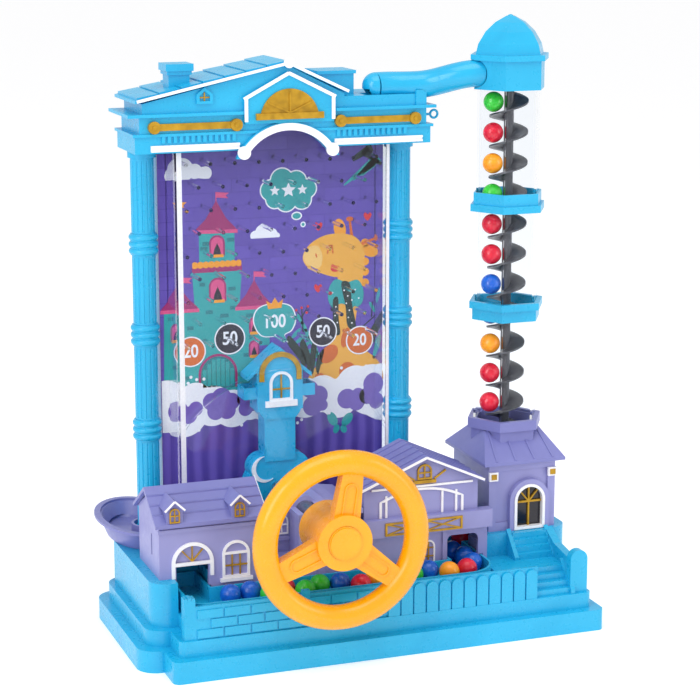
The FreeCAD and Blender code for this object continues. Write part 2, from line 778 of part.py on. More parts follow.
def left_house():
    x0, x1 = LEFT_X
    walls = box(x0, x1, HOUSE_FRONT, LEFT_BACK, BODY_TOP, EAVE_Z)
    ym = (HOUSE_FRONT + LEFT_BACK) / 2
    gable = prism_x([(HOUSE_FRONT, EAVE_Z), (ym, LEFT_RIDGE_Z - 3.0), (LEFT_BACK, EAVE_Z)], x0, x1)
    skirt = box(-131.0, x1, HOUSE_FRONT, HOUSE_FRONT + SKIRT, BED_TOP, BODY_TOP + 2)
    band = box(x0 - 0.8, x1, HOUSE_FRONT - 1.2, HOUSE_FRONT, 84.5, 87.0)
    solid = fuse([walls, gable, skirt, band])
    t = WALL
    inside = box(x0 + t, x1 - t, HOUSE_FRONT + t, LEFT_BACK - t, BODY_TOP - 1, EAVE_Z)
    attic = prism_x([
        (HOUSE_FRONT + 4, EAVE_Z - 0.5),
        (ym, LEFT_RIDGE_Z - 6.5),
        (LEFT_BACK - 4, EAVE_Z - 0.5)
    ],
                    x0 + t, x1 - t)
    solid = solid.cut(inside).cut(attic)
    door = box(DOOR_MID - 10.7, DOOR_MID + 10.7, HOUSE_FRONT - 3, HOUSE_FRONT + 6, BED_TOP - 1, TRANSOM_Z[0])
    lunette = arch_block(DOOR_MID, TRANSOM_Z[0] - 0.5, DOOR_SPRING, 11.6, HOUSE_FRONT - 3, HOUSE_FRONT + 1)
    notch = box(-131.5, -107.0, HOUSE_FRONT - 1, HOUSE_FRONT + 5, BED_TOP - 1, TROUGH_RIM + 0.4)
    slot = box(x0 - 1, x0 + 5, 62.0, 64.4, 66.0, 80.0)
    return solid.cut(door).cut(lunette).cut(notch).cut(slot)


def left_roof():
    x0, x1 = LEFT_X
    y0 = HOUSE_FRONT - 3.5
    y1 = LEFT_BACK + 3.5
    slab = gable_roof_x(x0 - 3.0, x1 - 0.2, y0, y1, EAVE_Z + 0.1, LEFT_RIDGE_Z + 1.6, ROOF_T)
    courses = []
    for k in (1, 2, 3):
        f = k / 4.0
        ym = (y0 + y1) / 2
        y = y0 + (ym - y0) * f
        z = EAVE_Z + 0.1 + (LEFT_RIDGE_Z + 1.6 - EAVE_Z) * f
        courses.append(box(x0 - 2.6, x1 - 0.6, y - 0.5, y + 0.9, z - 1.0, z + 0.65))
    solid = fuse([slab] + courses)
    blocks = []
    for xc in DORMER_X:
        blocks.append(dormer(xc, EAVE_Z - 0.6, 5.4, 99.8, 105.0, DORMER_Y, 63.0))
        hood = [
            (xc - 6.8, 99.9), (xc, 106.5), (xc + 6.8, 99.9), (xc + 5.0, 99.9), (xc, 104.8),
            (xc - 5.0, 99.9)
        ]
        blocks.append(prism_y(hood, DORMER_Y - 1.4, 64.0))
    solid = fuse([solid] + blocks)
    ym = (HOUSE_FRONT + LEFT_BACK) / 2
    under = prism_x([(HOUSE_FRONT - 8, 80.0), (HOUSE_FRONT - 0.2, EAVE_Z), (ym, LEFT_RIDGE_Z - 0.9),
                     (LEFT_BACK + 0.2, EAVE_Z), (LEFT_BACK + 8, 80.0)], x0 - 1, x1 + 1)
    return solid.cut(under.common(box(x0 - 1.2, x1 + 1, HOUSE_FRONT - 0.2, LEFT_BACK + 0.2, 70, 120)))


def left_white():
    y0 = HOUSE_FRONT - 1.3
    y1 = HOUSE_FRONT
    door = arch_frame(DOOR_MID, BODY_TOP + 0.1, DOOR_SPRING, 13.9, 2.3, y0, y1)
    transom = box(DOOR_MID - 11.8, DOOR_MID + 11.8, y0, y1, TRANSOM_Z[0], TRANSOM_Z[1])
    window = arch_frame(-90.3, 51.0, 66.4, 9.2, 1.7, y0, y1, 1.7)
    sill = box(-101.0, -79.4, y0 - 0.8, y1, 48.6, 50.8)
    mullion = box(-97.8, -82.8, y0, y1, 66.6, 68.2)
    solids = [fuse([door, transom]), fuse([window, mullion]), sill]
    for xc in DORMER_X:
        y2 = DORMER_Y - 1.4
        left = bar((xc - 6.6, 100.0), (xc, 106.2), 1.2, y2 - 0.6, y2)
        right = bar((xc + 6.6, 100.0), (xc, 106.2), 1.2, y2 - 0.6, y2)
        solids.append(fuse([left, right]))
    verge = bar_yz(
        (HOUSE_FRONT - 3.0, EAVE_Z + 0.8), (70.0, LEFT_RIDGE_Z + 2.4), 1.4, LEFT_X[1] - 0.2,
        LEFT_X[1] + 0.15
    )
    solids.append(verge)
    return group(solids)


def bar_yz(p, q, width, x0, x1):
    dy = q[0] - p[0]
    dz = q[1] - p[1]
    length = math.hypot(dy, dz)
    ny = dz / length * width
    nz = -dy / length * width
    return prism_x([p, q, (q[0] + ny, q[1] + nz), (p[0] + ny, p[1] + nz)], x0, x1)


def left_gold():
    y1 = HOUSE_FRONT
    y0 = y1 - 0.9
    fan = [
        bar((DOOR_MID, TRANSOM_Z[1]), (DOOR_MID, 74.6), 0.9, y1 + 0.1, y1 + 1.0),
        bar((DOOR_MID, TRANSOM_Z[1]), (DOOR_MID - 7.0, 72.0), 0.9, y1 + 0.1, y1 + 1.0),
        bar((DOOR_MID, TRANSOM_Z[1]), (DOOR_MID + 7.0, 72.0), 0.9, y1 + 0.1, y1 + 1.0),
    ]
    grid = [
        box(-93.4, -92.5, y0, y1, 52.7, 66.6),
        box(-88.1, -87.2, y0, y1, 52.7, 66.6),
        box(-97.8, -82.8, y0, y1, 58.6, 59.6),
    ]
    solids = [fuse(fan), fuse(grid)]
    for xc in DORMER_X:
        y2 = DORMER_Y
        pane = arch_frame(xc, 91.9, 98.0, 3.4, 0.8, y2 - 1.0, y2, 0.8)
        cross = [
            box(xc - 0.35, xc + 0.35, y2 - 1.0, y2, 92.0, 101.0),
            box(xc - 3.0, xc + 3.0, y2 - 1.0, y2, 96.2, 96.9)
        ]
        solids.append(fuse([pane] + cross))
    return group(solids)


# ================================================================ middle house
def middle_roof_line(x):
    # height of the gable's upper face over x
    half = (MID_X[1] - MID_X[0]) / 2 + 1.4
    xc = (MID_X[0] + MID_X[1]) / 2
    return MID_EAVE_Z + MID_SLOPE * (half - abs(x - xc))


def middle_roof(y0, y1):
    # gable of overlapping boards that run from front to back
    xc = (MID_X[0] + MID_X[1]) / 2
    left = MID_X[0] - 1.4
    slab = [(left, MID_EAVE_Z), (xc, middle_roof_line(xc)), (MID_X[1], middle_roof_line(MID_X[1]))]
    under = [(x, z - ROOF_T) for x, z in reversed(slab)]
    boards = [prism_y(slab + under, y0, y1)]
    for side in (-1, 1):
        reach = xc - left - 1.4 * (side > 0)
        for k in range(2):
            xa = xc + side * (reach - k * COURSE_W)
            xb = xa - side * COURSE_W
            za = middle_roof_line(xa)
            zb = middle_roof_line(xb)
            boards.append(prism_y([(xa, za - 0.5), (xb, zb - 0.5), (xb, zb), (xa, za + 0.9)], y0, y1))
    return boards


def middle_house():
    x0, x1 = MID_X
    y0 = HOUSE_FRONT + 1.0
    xc = (x0 + x1) / 2
    t = WALL
    recess_x = LEFT_X[1] + FLOOR_GAP
    gable = [(x0, BODY_TOP), (x1, BODY_TOP), (x1, 86.4), (xc, middle_roof_line(xc) - 1.6), (x0, 86.4)]
    hollow = [(x0 + t, BODY_TOP - 1), (x1 - t, BODY_TOP - 1), (x1 - t, 84.6), (x0 + t, 84.6)]
    solid = prism_y(gable, y0, MID_BACK).cut(prism_y(hollow, y0 + 2.4, MID_BACK - 2.4))
    yard = [
        box(recess_x, x0 + 1.0, MID_WALL_Y, MID_WALL_Y + t, BODY_TOP, 92.0),
        box(recess_x, x0 + 1.0, MID_WALL_Y - 1.2, MID_WALL_Y, 65.2, 68.0),
        box(recess_x, x0 + 1.0, y0, MID_WALL_Y + 1.0, BODY_TOP, SKIRT_TOP),
        box(recess_x, x1, y0, HOUSE_FRONT + SKIRT, BED_TOP, SKIRT_TOP),
    ]
    for k in range(8):
        yard.append(
            box(recess_x + 1.4 + 7.9 * k, recess_x + 2.6 + 7.9 * k, y0 - 0.5, y0, BED_TOP, SKIRT_TOP - 1.0)
        )
    solid = fuse([solid] + yard + middle_roof(y0 - 4.6, MID_BACK + 1.5))
    recess = box(x0 + t, AXIS_X + 14.0, y0 - 2, 59.6, 66.0, 86.0)
    lining = box(x0 + 0.4, AXIS_X + 16.0, y0, 61.8, 64.0, 86.6).cut(recess)
    bearing = [
        cyl_y(AXIS_X, AXIS_Z, 9.0, 59.6, 66.0),
        cyl_y(AXIS_X, AXIS_Z, 9.0, MID_BACK - 6.0, MID_BACK),
    ]
    solid = fuse([solid, lining]).cut(recess)
    return fuse([solid] + bearing).cut(cyl_y(AXIS_X, AXIS_Z, SHAFT_R + 0.9, 40.0, 59.6)).cut(
        cyl_y(AXIS_X, AXIS_Z, SHAFT_R + SHAFT_FIT, 40.0, 110.0))


def middle_white():
    y1 = MID_WALL_Y
    y0 = y1 - 0.9
    window = arch_frame(-52.5, 69.3, 77.8, 4.6, 1.0, y0, y1, 1.0)
    cross = [box(-52.9, -52.1, y0, y1, 69.9, 81.8), box(-56.6, -48.4, y0, y1, 75.4, 76.2)]
    return group([fuse([window] + cross)])


# ================================================================ right house
def right_house():
    x0, x1 = RIGHT_X
    y0 = HOUSE_FRONT
    ground = box(x0, x1, y0, GABLE_BACK, BODY_TOP, BALCONY_Z[0] + 2)
    skirt = fuse([
        box(x0, 83.0, y0, y0 + SKIRT, BED_TOP, BODY_TOP + 2),
        box(x0, x1, y0, y0 + SKIRT, LANDING_TOP, BODY_TOP + 2),
    ])
    skirt_right = box(x1 - 3.0, x1, y0 + 1, 70.0, LANDING_TOP, BODY_TOP + 2)
    ledge = box(x0, x1 + 2.0, y0 - 4.0, y0 + 4.0, BALCONY_Z[0], BALCONY_Z[1])
    upper = box(UPPER_X[0], UPPER_X[1], y0 + 1.0, GABLE_BACK, BALCONY_Z[0], GABLE_EAVE_Z)
    gable = prism_y([(UPPER_X[0], GABLE_EAVE_Z), (UPPER_X[1], GABLE_EAVE_Z), (GABLE_X, GABLE_APEX_Z - 2.6)],
                    y0 + 1.0, GABLE_BACK)
    pier = box(53.2, 56.4, y0 - 1.4, y0, BED_TOP, BALCONY_Z[0])
    solid = fuse([ground, skirt, skirt_right, ledge, upper, gable, pier])
    t = WALL
    rooms = [
        box(x0 + t, x1 - t, y0 + t, GABLE_BACK - t, BODY_TOP - 1, BALCONY_Z[1] - t),
        box(UPPER_X[0] + t, UPPER_X[1] - t, y0 + 1.0 + t, GABLE_BACK - t, BODY_TOP, GABLE_EAVE_Z - 1),
    ]
    for room in rooms:
        solid = solid.cut(room)
    gate = box(GARAGE_X[0], GARAGE_X[1], y0 - 6, y0 + 8, BED_TOP - 1, GARAGE_TOP)
    gate = gate.makeFillet(
        4.0,
        [e for e in gate.Edges if e.BoundBox.ZMin > GARAGE_TOP - 0.1 and e.BoundBox.YLength > 10]
    )
    notch = box(55.4, 83.0, y0 - 1, y0 + 6, BED_TOP - 1, TROUGH_RIM + 0.4)
    pocket = box(55.2, 83.0, y0 + SKIRT - 1, 110.0, BED_TOP - 1, TROUGH_RIM + 0.6)
    lane = box(GARAGE_X[0], x1 + 2, LANE_BACK_Y[0] - 2, GABLE_BACK + 1, BED_TOP - 1, BODY_TOP + 6)
    return solid.cut(gate).cut(notch).cut(pocket).cut(lane)


def right_roof():
    y0 = HOUSE_FRONT - 3.0
    y1 = GABLE_BACK
    left = (-4.2, GABLE_EAVE_Z - 0.6)
    right = (82.4, GABLE_EAVE_Z - 0.6)
    apex = (GABLE_X, GABLE_APEX_Z)
    t = 2.2
    slab = prism_y(
        [left, apex, right, (right[0], right[1] - t), (apex[0], apex[1] - t - 0.3), (left[0], left[1] - t)],
        y0, y1
    )
    seams = []
    for k in range(5):
        y = y0 + 5.0 + 9.6 * k
        seams.append(prism_y([left, apex, (apex[0], apex[1] + 0.8), (left[0], left[1] + 0.8)], y, y + 1.2))
        seams.append(prism_y([right, apex, (apex[0], apex[1] + 0.8), (right[0], right[1] + 0.8)], y, y + 1.2))
    solid = fuse([slab] + seams)
    wall_line = [
        (UPPER_X[0] - 0.1, 90.0), (UPPER_X[0] - 0.1, GABLE_EAVE_Z), (GABLE_X, GABLE_APEX_Z - 2.6),
        (UPPER_X[1] + 0.1, GABLE_EAVE_Z), (UPPER_X[1] + 0.1, 90.0),
    ]
    body = prism_y(wall_line, HOUSE_FRONT + 1.0, GABLE_BACK + 1)
    return solid.cut(body)


def wide_arch(x0, x1, z0, spring, rise, t, y0, y1):
    half = (x1 - x0) / 2
    xc = (x0 + x1) / 2
    r = (half * half + rise * rise) / (2 * rise)
    zc = spring + rise - r
    disc = cyl_y(xc, zc, r, y0, y1).common(box(x0, x1, y0, y1, spring, spring + rise + 1))
    outer = fuse([disc, box(x0, x1, y0, y1, z0, spring)])
    cut_disc = cyl_y(xc, zc, r - t, y0 - 1, y1 + 1).common(
        box(x0 + t, x1 - t, y0 - 1, y1 + 1, spring, spring + rise)
    )
    inner = fuse([cut_disc, box(x0 + t, x1 - t, y0 - 1, y1 + 1, z0 - 1, spring)])
    return outer.cut(inner)


def right_white():
    wall = HOUSE_FRONT + 1.0
    y0 = wall - 1.1
    frame = wide_arch(8.6, 68.4, 79.2, 90.0, 7.6, 1.6, y0, wall)
    posts = [box(x - 0.7, x + 0.7, y0, wall, 79.2, 94.0) for x in (13.4, 53.2, 63.2)]
    trim = box(3.0, 75.0, y0, wall, 98.0, 99.4)
    solids = [fuse([frame] + posts), trim]
    front = HOUSE_FRONT - 3.0
    left = bar((-5.2, 99.8), (GABLE_X, 118.6), 1.5, front - 0.8, front)
    right = bar((82.2, 99.8), (GABLE_X, 118.6), 1.5, front - 0.8, front)
    solids.append(fuse([left, right]))
    small = arch_frame(43.3, 44.0, 56.6, 4.6, 1.1, HOUSE_FRONT - 0.9, HOUSE_FRONT, 1.1)
    solids.append(small)
    return group(solids)


def brace(x0, x1, z0, z1, y0, y1):
    return [bar((x0, z0), (x1, z1), 0.8, y0, y1), bar((x0, z1), (x1, z0), 0.8, y0, y1)]


def right_gold():
    y1 = HOUSE_FRONT - 4.0
    y0 = y1 - 0.9
    z0 = 68.0
    z1 = 75.6
    rail = [box(11.0, 66.0, y0, y1, z0, z0 + 1.3), box(11.0, 66.0, y0, y1, z1, z1 + 1.3)]
    rail += [box(x - 0.7, x + 0.7, y0, y1, z0, z1 + 1.3) for x in (11.7, 38.5, 65.3)]
    rail += brace(12.0, 38.0, z0 + 0.8, z1 + 0.4, y0, y1)
    rail += brace(39.0, 65.0, z0 + 0.8, z1 + 0.4, y0, y1)
    wall = HOUSE_FRONT + 1.0
    pane = arch_frame(GABLE_X, 103.0, 108.2, 5.2, 1.2, wall - 1.0, wall, 1.2)
    cross = [
        box(GABLE_X - 0.5, GABLE_X + 0.5, wall - 1.0, wall, 103.4, 112.8),
        box(GABLE_X - 4.6, GABLE_X + 4.6, wall - 1.0, wall, 107.0, 108.0)
    ]
    sill = box(GABLE_X - 8.0, GABLE_X + 8.0, wall - 1.6, wall, 100.4, 102.6)
    struts = [
        bar((47.6, 103.0), (55.6, 108.2), 1.2, wall - 0.9, wall),
        bar((33.4, 103.0), (25.4, 108.2), 1.2, wall - 0.9, wall)
    ]
    small_y = HOUSE_FRONT
    bars = [
        box(42.9, 43.7, small_y - 0.8, small_y, 45.1, 60.0),
        box(39.9, 46.7, small_y - 0.8, small_y, 49.6, 50.4),
        box(39.9, 46.7, small_y - 0.8, small_y, 55.4, 56.2),
    ]
    return group([fuse(rail), fuse([pane] + cross), sill] + struts + [fuse(bars)])


# ================================================================ play board
def board_shell():
    x0 = BOARD_X - BOARD_HALF
    x1 = BOARD_X + BOARD_HALF
    y0 = PANEL_Y + PANEL_T
    y1 = y0 + BOARD_T
    block = box(x0, x1, y0, y1, BODY_TOP, BOARD_TOP)
    tray = block.cut(box(x0 + 4, x1 - 4, y0 - 1, y1 - 2.0, BODY_TOP + 4, BOARD_TOP - 4))
    posts = []
    for x, z in back_screws():
        posts.append(cyl_y(x, z, 3.4, y0, y1))
    solid = fuse([tray] + posts)
    for x, z in back_screws():
        solid = solid.cut(cyl_y(x, z, 3.0, y1 - 1.6, y1 + 1))
        solid = solid.cut(cyl_y(x, z, 1.25, y1 - 8.0, y1 + 1))
    return solid


def back_screws():
    pts = []
    for x in (-100.0, -36.0, 28.0):
        for z in (80.0, 180.0, 290.0):
            pts.append((x, z))
    return pts


def art_panel():
    x0 = BOARD_X - BOARD_HALF
    x1 = BOARD_X + BOARD_HALF
    return box(x0, x1, PANEL_Y, PANEL_Y + PANEL_T, BODY_TOP + 0.2, BOARD_TOP)


def clear_cover():
    x0 = BOARD_X - COVER_HALF
    x1 = BOARD_X + COVER_HALF
    z0 = BODY_TOP + 2.0
    front = box(x0, x1, COVER_Y, COVER_Y + COVER_T, z0, COVER_TOP)
    sides = [
        box(x0, x0 + COVER_T, COVER_Y, PANEL_Y, z0, COVER_TOP),
        box(x1 - COVER_T, x1, COVER_Y, PANEL_Y, z0, COVER_TOP),
    ]
    ring = cyl_y(AXIS_X, AXIS_Z, GUIDE_R + 0.8, COVER_Y - 0.9, COVER_Y)
    ring = ring.cut(cyl_y(AXIS_X, AXIS_Z, GUIDE_R - 0.8, COVER_Y - 2, COVER_Y + 1))
    ring = ring.common(box(x0 + 0.5, x1 - 0.5, COVER_Y - 2, COVER_Y + 1, 124.0, 200.0))
    solid = fuse([front, ring] + sides)
    return solid.cut(cyl_y(AXIS_X, AXIS_Z, SHAFT_R + 1.2, COVER_Y - 1, COVER_Y + COVER_T + 1))


def peg_points():
    points = []
    for row in range(PEG_ROWS):
        count = 9 - row % 2
        for k in range(count):
            points.append((BOARD_X + (k - (count - 1) / 2.0) * PEG_PITCH_X, PEG_TOP - row * PEG_PITCH_Z))
    return points


def pegs():
    solids = []
    for x, z in peg_points():
        solids.append(cyl_y(x, z, PEG_R, PEG_FRONT, PANEL_Y))
    return group(solids)


def column(xc):
    z0 = BODY_TOP + 3.0
    shaft = cyl_z(xc, COLUMN_Y, COLUMN_R, z0, PED_BOTTOM)
    parts = [
        shaft, cyl_z(xc, COLUMN_Y, 10.0, z0, z0 + 8.0),
        cyl_z(xc, COLUMN_Y, 9.4, PED_BOTTOM - 5.0, PED_BOTTOM)
    ]
    for zc in (132.5, 196.8, 257.2):
        parts.append(cyl_z(xc, COLUMN_Y, RING_R - 1.0, zc - 7.0, zc + 7.0))
        for dz in (-4.6, 0.0, 4.6):
            parts.append(Part.makeTorus(COLUMN_R - 0.2, 2.2, V(xc, COLUMN_Y, zc + dz)))
    solid = fuse(parts)
    grooves = []
    for k in range(14):
        a = 2 * math.pi * k / 14
        x = xc + (COLUMN_R + 0.25) * math.cos(a)
        y = COLUMN_Y + (COLUMN_R + 0.25) * math.sin(a)
        for g0, g1 in ((68.0, 124.0), (141.0, 188.3), (205.3, 248.7), (265.7, 312.0)):
            grooves.append(cyl_z(x, y, 0.75, g0, g1))
    solid = solid.cut(grooves)
    return solid


def columns():
    return group([column(BOARD_X - COLUMN_DX), column(BOARD_X + COLUMN_DX)])


# ================================================================ pediment
def pediment_body():
    t = 3.0
    wall = box(PED_LEFT, PED_RIGHT, PED_FRONT, PED_BACK, PED_BOTTOM, PED_SHELF)
    gable_line = [
        (PED_LEFT + 2, PED_SHELF - 1), (4.0, PED_SHELF - 1), (4.0, ROOF_RIGHT[1] - 2.0),
        (APEX_X, APEX_Z - 2.1), (PED_LEFT + 2, ROOF_LEFT[1] - 2.2),
    ]
    gable = prism_y(gable_line, PED_FRONT, PED_BACK)
    right_box = box(3.0, 56.0, PED_FRONT, PED_BACK, PED_SHELF - 1, 351.6)
    right_post = box(54.2, 61.6, PED_FRONT - 1.2, PED_FRONT + 4.0, PED_SHELF - 1, 354.2)
    rear_box = box(-9.5, 15.0, 112.0, 136.0, 350.0, 366.8)
    rear_lid = box(-10.7, 16.2, 110.8, 137.2, 365.2, 367.4)
    flange = box(
        PED_LEFT - 8.0, PED_RIGHT + 6.0, PED_FRONT - 3.0, PED_BACK + 2.0, PED_SHELF - 1.2,
        PED_SHELF + 0.8
    )
    lower = box(PED_LEFT - 4.5, PED_RIGHT + 4.5, PED_FRONT - 1.4, PED_BACK + 1.0, 329.8, 331.6)
    ends = [
        box(PED_LEFT - 3.0, -113.5, PED_FRONT, PED_BACK, PED_BOTTOM, 330.0),
        box(42.5, PED_RIGHT + 3.0, PED_FRONT, PED_BACK, PED_BOTTOM, 330.0),
    ]
    solid = fuse([wall, gable, right_box, right_post, rear_box, rear_lid, flange, lower] + ends)
    throat = box(
        PED_LEFT + 18.0, PED_RIGHT - 18.0, PED_FRONT + t, PANEL_Y + PANEL_T + BOARD_T + 0.2,
        PED_BOTTOM - 1, PED_SHELF - 3
    )
    attic = box(PED_LEFT + 6, 0.0, PED_FRONT + t, PED_BACK - t, PED_SHELF - 4, 350.0)
    run = box(-6.0, 50.0, PED_FRONT + t, PED_BACK - t, PED_SHELF - 4, 349.0)
    arch = cyl_y(ARCH_X, ARCH_Z, ARCH_R, PED_FRONT - 4, PED_FRONT + t + 1)
    flue = box(22.5, 36.0, 106.0, 116.0, 340.0, 353.0)
    for tool in (throat, attic, run, arch, flue):
        solid = solid.cut(tool)
    front_gable = prism_y(
        [(-64.4, 336.0), (-4.0, 336.0), (-4.0, 352.0), (APEX_X, 367.6), (-64.4, 352.0)],
        PED_FRONT - 2.4, PED_FRONT
    )
    arch_seat = cyl_y(ARCH_X, ARCH_Z, ARCH_R + 5.2, PED_FRONT - 2.4, PED_FRONT + 1)
    arch_seat = arch_seat.common(box(-72.0, 2.0, PED_FRONT - 3, PED_FRONT + 2, PED_BOTTOM - 5.4, 345.0))
    solid = fuse([solid, front_gable, arch_seat, attic_frame()] + dentils() + [hook_ring()])
    solid = solid.cut(cyl_y(ARCH_X, ARCH_Z, ARCH_R, PED_FRONT - 6, PED_FRONT + 2))
    solid = solid.cut(box(-66.0, -2.4, PED_FRONT - 4.0, PED_FRONT - 2.4, 336.0, 369.0))
    pipe_room = Part.makeCylinder(9.2, 31.5, V(20.5, 111.0, 356.6), V(1, 0, 0))
    return solid.cut(pipe_room).cut(swept_tube(pipe_route(), 9.2))


def attic_frame():
    # little gable-shaped surround on the long slope's wall
    plate = [(-96.4, 349.8), (-85.6, 349.8), (-85.6, 356.0), (-91.0, 360.4), (-96.4, 356.0)]
    bore = [(-94.4, 351.6), (-87.6, 351.6), (-87.6, 355.2), (-91.0, 357.9), (-94.4, 355.2)]
    return prism_y(plate, PED_FRONT - 1.6, PED_FRONT).cut(prism_y(bore, PED_FRONT - 2.0, PED_FRONT))


def dentils():
    teeth = []
    for k in range(13):
        teeth.append(box(-119.6 + 3.9 * k, -117.4 + 3.9 * k, PED_FRONT - 1.2, PED_FRONT, 325.6, 329.9))
    for k in range(13):
        teeth.append(box(-1.4 + 3.9 * k, 0.8 + 3.9 * k, PED_FRONT - 1.2, PED_FRONT, 325.6, 329.9))
    return teeth


def hook_ring():
    ring = Part.makeTorus(2.6, 0.8, V(PED_RIGHT + 8.6, PED_FRONT + 8.0, 337.0), V(0, 1, 0))
    arm = box(PED_RIGHT - 1, PED_RIGHT + 6.4, PED_FRONT + 7.2, PED_FRONT + 8.8, 336.2, 337.8)
    return fuse([ring, arm])


def pediment_roof():
    y0 = PED_FRONT - 3.0
    y1 = PED_BACK + 5.0
    t = 3.0
    slab = prism_y([ROOF_LEFT, (APEX_X, APEX_Z), ROOF_RIGHT, (ROOF_RIGHT[0], ROOF_RIGHT[1] - 1.8),
                    (APEX_X, APEX_Z - 2.0), (ROOF_LEFT[0], ROOF_LEFT[1] - 1.8)], y0, y1)
    slab = slab.cut(prism_y([
        (-136.0, 340.0), (-136.0, ROOF_LEFT[1] - 3.0), (APEX_X, APEX_Z - 2.0), (8.0, 353.0),
        (8.0, 340.0)
    ],
                            PED_FRONT, PED_BACK))
    tiles = []
    slope = (APEX_Z - ROOF_LEFT[1]) / (APEX_X - ROOF_LEFT[0])
    for k in range(7):
        x = ROOF_LEFT[0] + 2.0 + 14.4 * k
        z = ROOF_LEFT[1] + slope * (x - ROOF_LEFT[0])
        tiles.append(
            prism_y(
                [
                    (x, z - 0.3), (x + 13.4, z + slope * 13.4 - 0.3),
                    (x + 13.4, z + slope * 13.4 + 0.9), (x, z + 1.5)
                ],
                y0 + 2, y1 - 1
            )
        )
    stack_z = ROOF_LEFT[1] + slope * (-104.0 - ROOF_LEFT[0])
    stack = [
        box(-111.0, -97.0, 112.0, 126.0, stack_z - 3.0, 370.0),
        box(-113.2, -94.8, 109.8, 128.2, 370.0, 374.6),
        box(-112.2, -95.8, 110.8, 127.2, 367.6, 370.0),
    ]
    solid = fuse([slab] + tiles + stack)
    under = prism_y(
        [(-136.0, 330.0), (-136.0, ROOF_LEFT[1] - 3.0), (APEX_X, APEX_Z - 2.0), (8.0, 353.0), (8.0, 330.0)],
        PED_FRONT, PED_BACK
    )
    solid = solid.cut(under)
    rear = box(-11.0, 17.0, 110.5, 137.5, 350.0, 368.0)
    return solid.cut(rear)


def pediment_white():
    y1 = PED_FRONT
    y0 = y1 - 2.0
    solids = []
    for x0, x1 in ((-126.8, -68.0), (-3.0, 58.8)):
        strip = fuse([
            box(x0, x1, y0, y1, 320.2, 321.5),
            box(x0, x1, y0 + 1.0, y1, 321.5, 322.9),
            box(x0, x1, y0, y1, 322.9, 324.2),
        ])
        solids.append(strip)
    arch = cyl_y(ARCH_X, ARCH_Z, ARCH_R + 4.6, PED_FRONT - 4.0, PED_FRONT - 2.4)
    arch = arch.cut(cyl_y(ARCH_X, ARCH_Z, ARCH_R, PED_FRONT - 6, PED_FRONT))
    arch = arch.common(box(-70.0, 0.0, PED_FRONT - 5, PED_FRONT, 318.6, 345.0))
    feet = [cyl_y(x, 317.6, 4.3, PED_FRONT - 4.0, PED_FRONT - 2.4) for x in (-65.6, -5.2)]
    solids.append(fuse([arch] + feet))
    y2 = PED_FRONT - 2.4
    gable = [
        box(-65.0, -62.8, y2 - 1.2, y2, 337.4, 352.6),
        box(-5.6, -3.4, y2 - 1.2, y2, 337.4, 352.6),
        bar((-65.4, 352.0), (APEX_X, 368.0), 2.2, y2 - 1.2, y2),
        bar((-3.0, 352.0), (APEX_X, 368.0), 2.2, y2 - 1.2, y2),
    ]
    solids.append(fuse(gable))
    y3 = PED_FRONT - 3.0
    verge = [
        bar((ROOF_LEFT[0] + 1, ROOF_LEFT[1] - 0.4), (APEX_X, APEX_Z - 0.6), 1.8, y3 - 1.0, y3),
        bar((ROOF_RIGHT[0] - 0.5, ROOF_RIGHT[1] - 0.4), (APEX_X, APEX_Z - 0.6), 1.8, y3 - 1.0, y3),
        cyl_y(APEX_X, APEX_Z - 0.4, 3.4, y3 - 1.6, y3),
    ]
    solids.append(fuse(verge))
    return group(solids)


def scroll(x0, x1):
    y1 = PED_FRONT
    y0 = y1 - 2.0
    rod = box(x0 + 3.0, x1 - 3.0, y0, y1, 333.6, 338.0)
    ends = [cyl_y(x0 + 4.0, 335.8, 4.0, y0 - 0.8, y1), cyl_y(x1 - 4.0, 335.8, 4.0, y0 - 0.8, y1)]
    knobs = [cyl_y(x0 + 4.0, 335.8, 1.4, y0 - 1.5, y1), cyl_y(x1 - 4.0, 335.8, 1.4, y0 - 1.5, y1)]
    return fuse([rod] + ends + knobs)


def pediment_gold():
    y1 = PED_FRONT - 2.4
    xc = -34.5
    fan = cyl_y(xc, 338.0, 20.0, y1 - 1.0, y1).common(box(-60, -10, y1 - 2, y1, 342.6, 360.0))
    ribs = [
        bar(
            (xc, 342.6),
            (xc + 18.6 * math.cos(math.radians(a)), 341.0 + 18.6 * math.sin(math.radians(a)) * 0.8),
            1.0, y1 - 1.8, y1
        )
        for a in (35, 90, 145)
    ]
    sill = box(xc - 23.0, xc + 23.0, y1 - 2.2, y1, 338.4, 342.6)
    small = [fuse([
        box(-91.4, -90.6, PED_FRONT - 0.8, PED_FRONT, 351.6, 357.0),
        box(-94.4, -87.6, PED_FRONT - 0.8, PED_FRONT, 353.4, 354.2),
    ])]
    return group([scroll(-128.6, -66.2), scroll(-3.0, 57.4), fuse([fan, sill] + ribs)] + small)


# ================================================================ steering, catcher
def spoke_rib():
    # raised outline on a spoke, rounded towards the rim and open to the hub
    outer = fuse([box(-4.4, 4.4, -16.8, -15.6, 13.0, 33.4), cyl_y(0, 33.4, 4.4, -16.8, -15.6)])
    inner = fuse([box(-3.5, 3.5, -17.0, -15.0, 12.0, 33.4), cyl_y(0, 33.4, 3.5, -17.0, -15.0)])
    return outer.cut(inner)


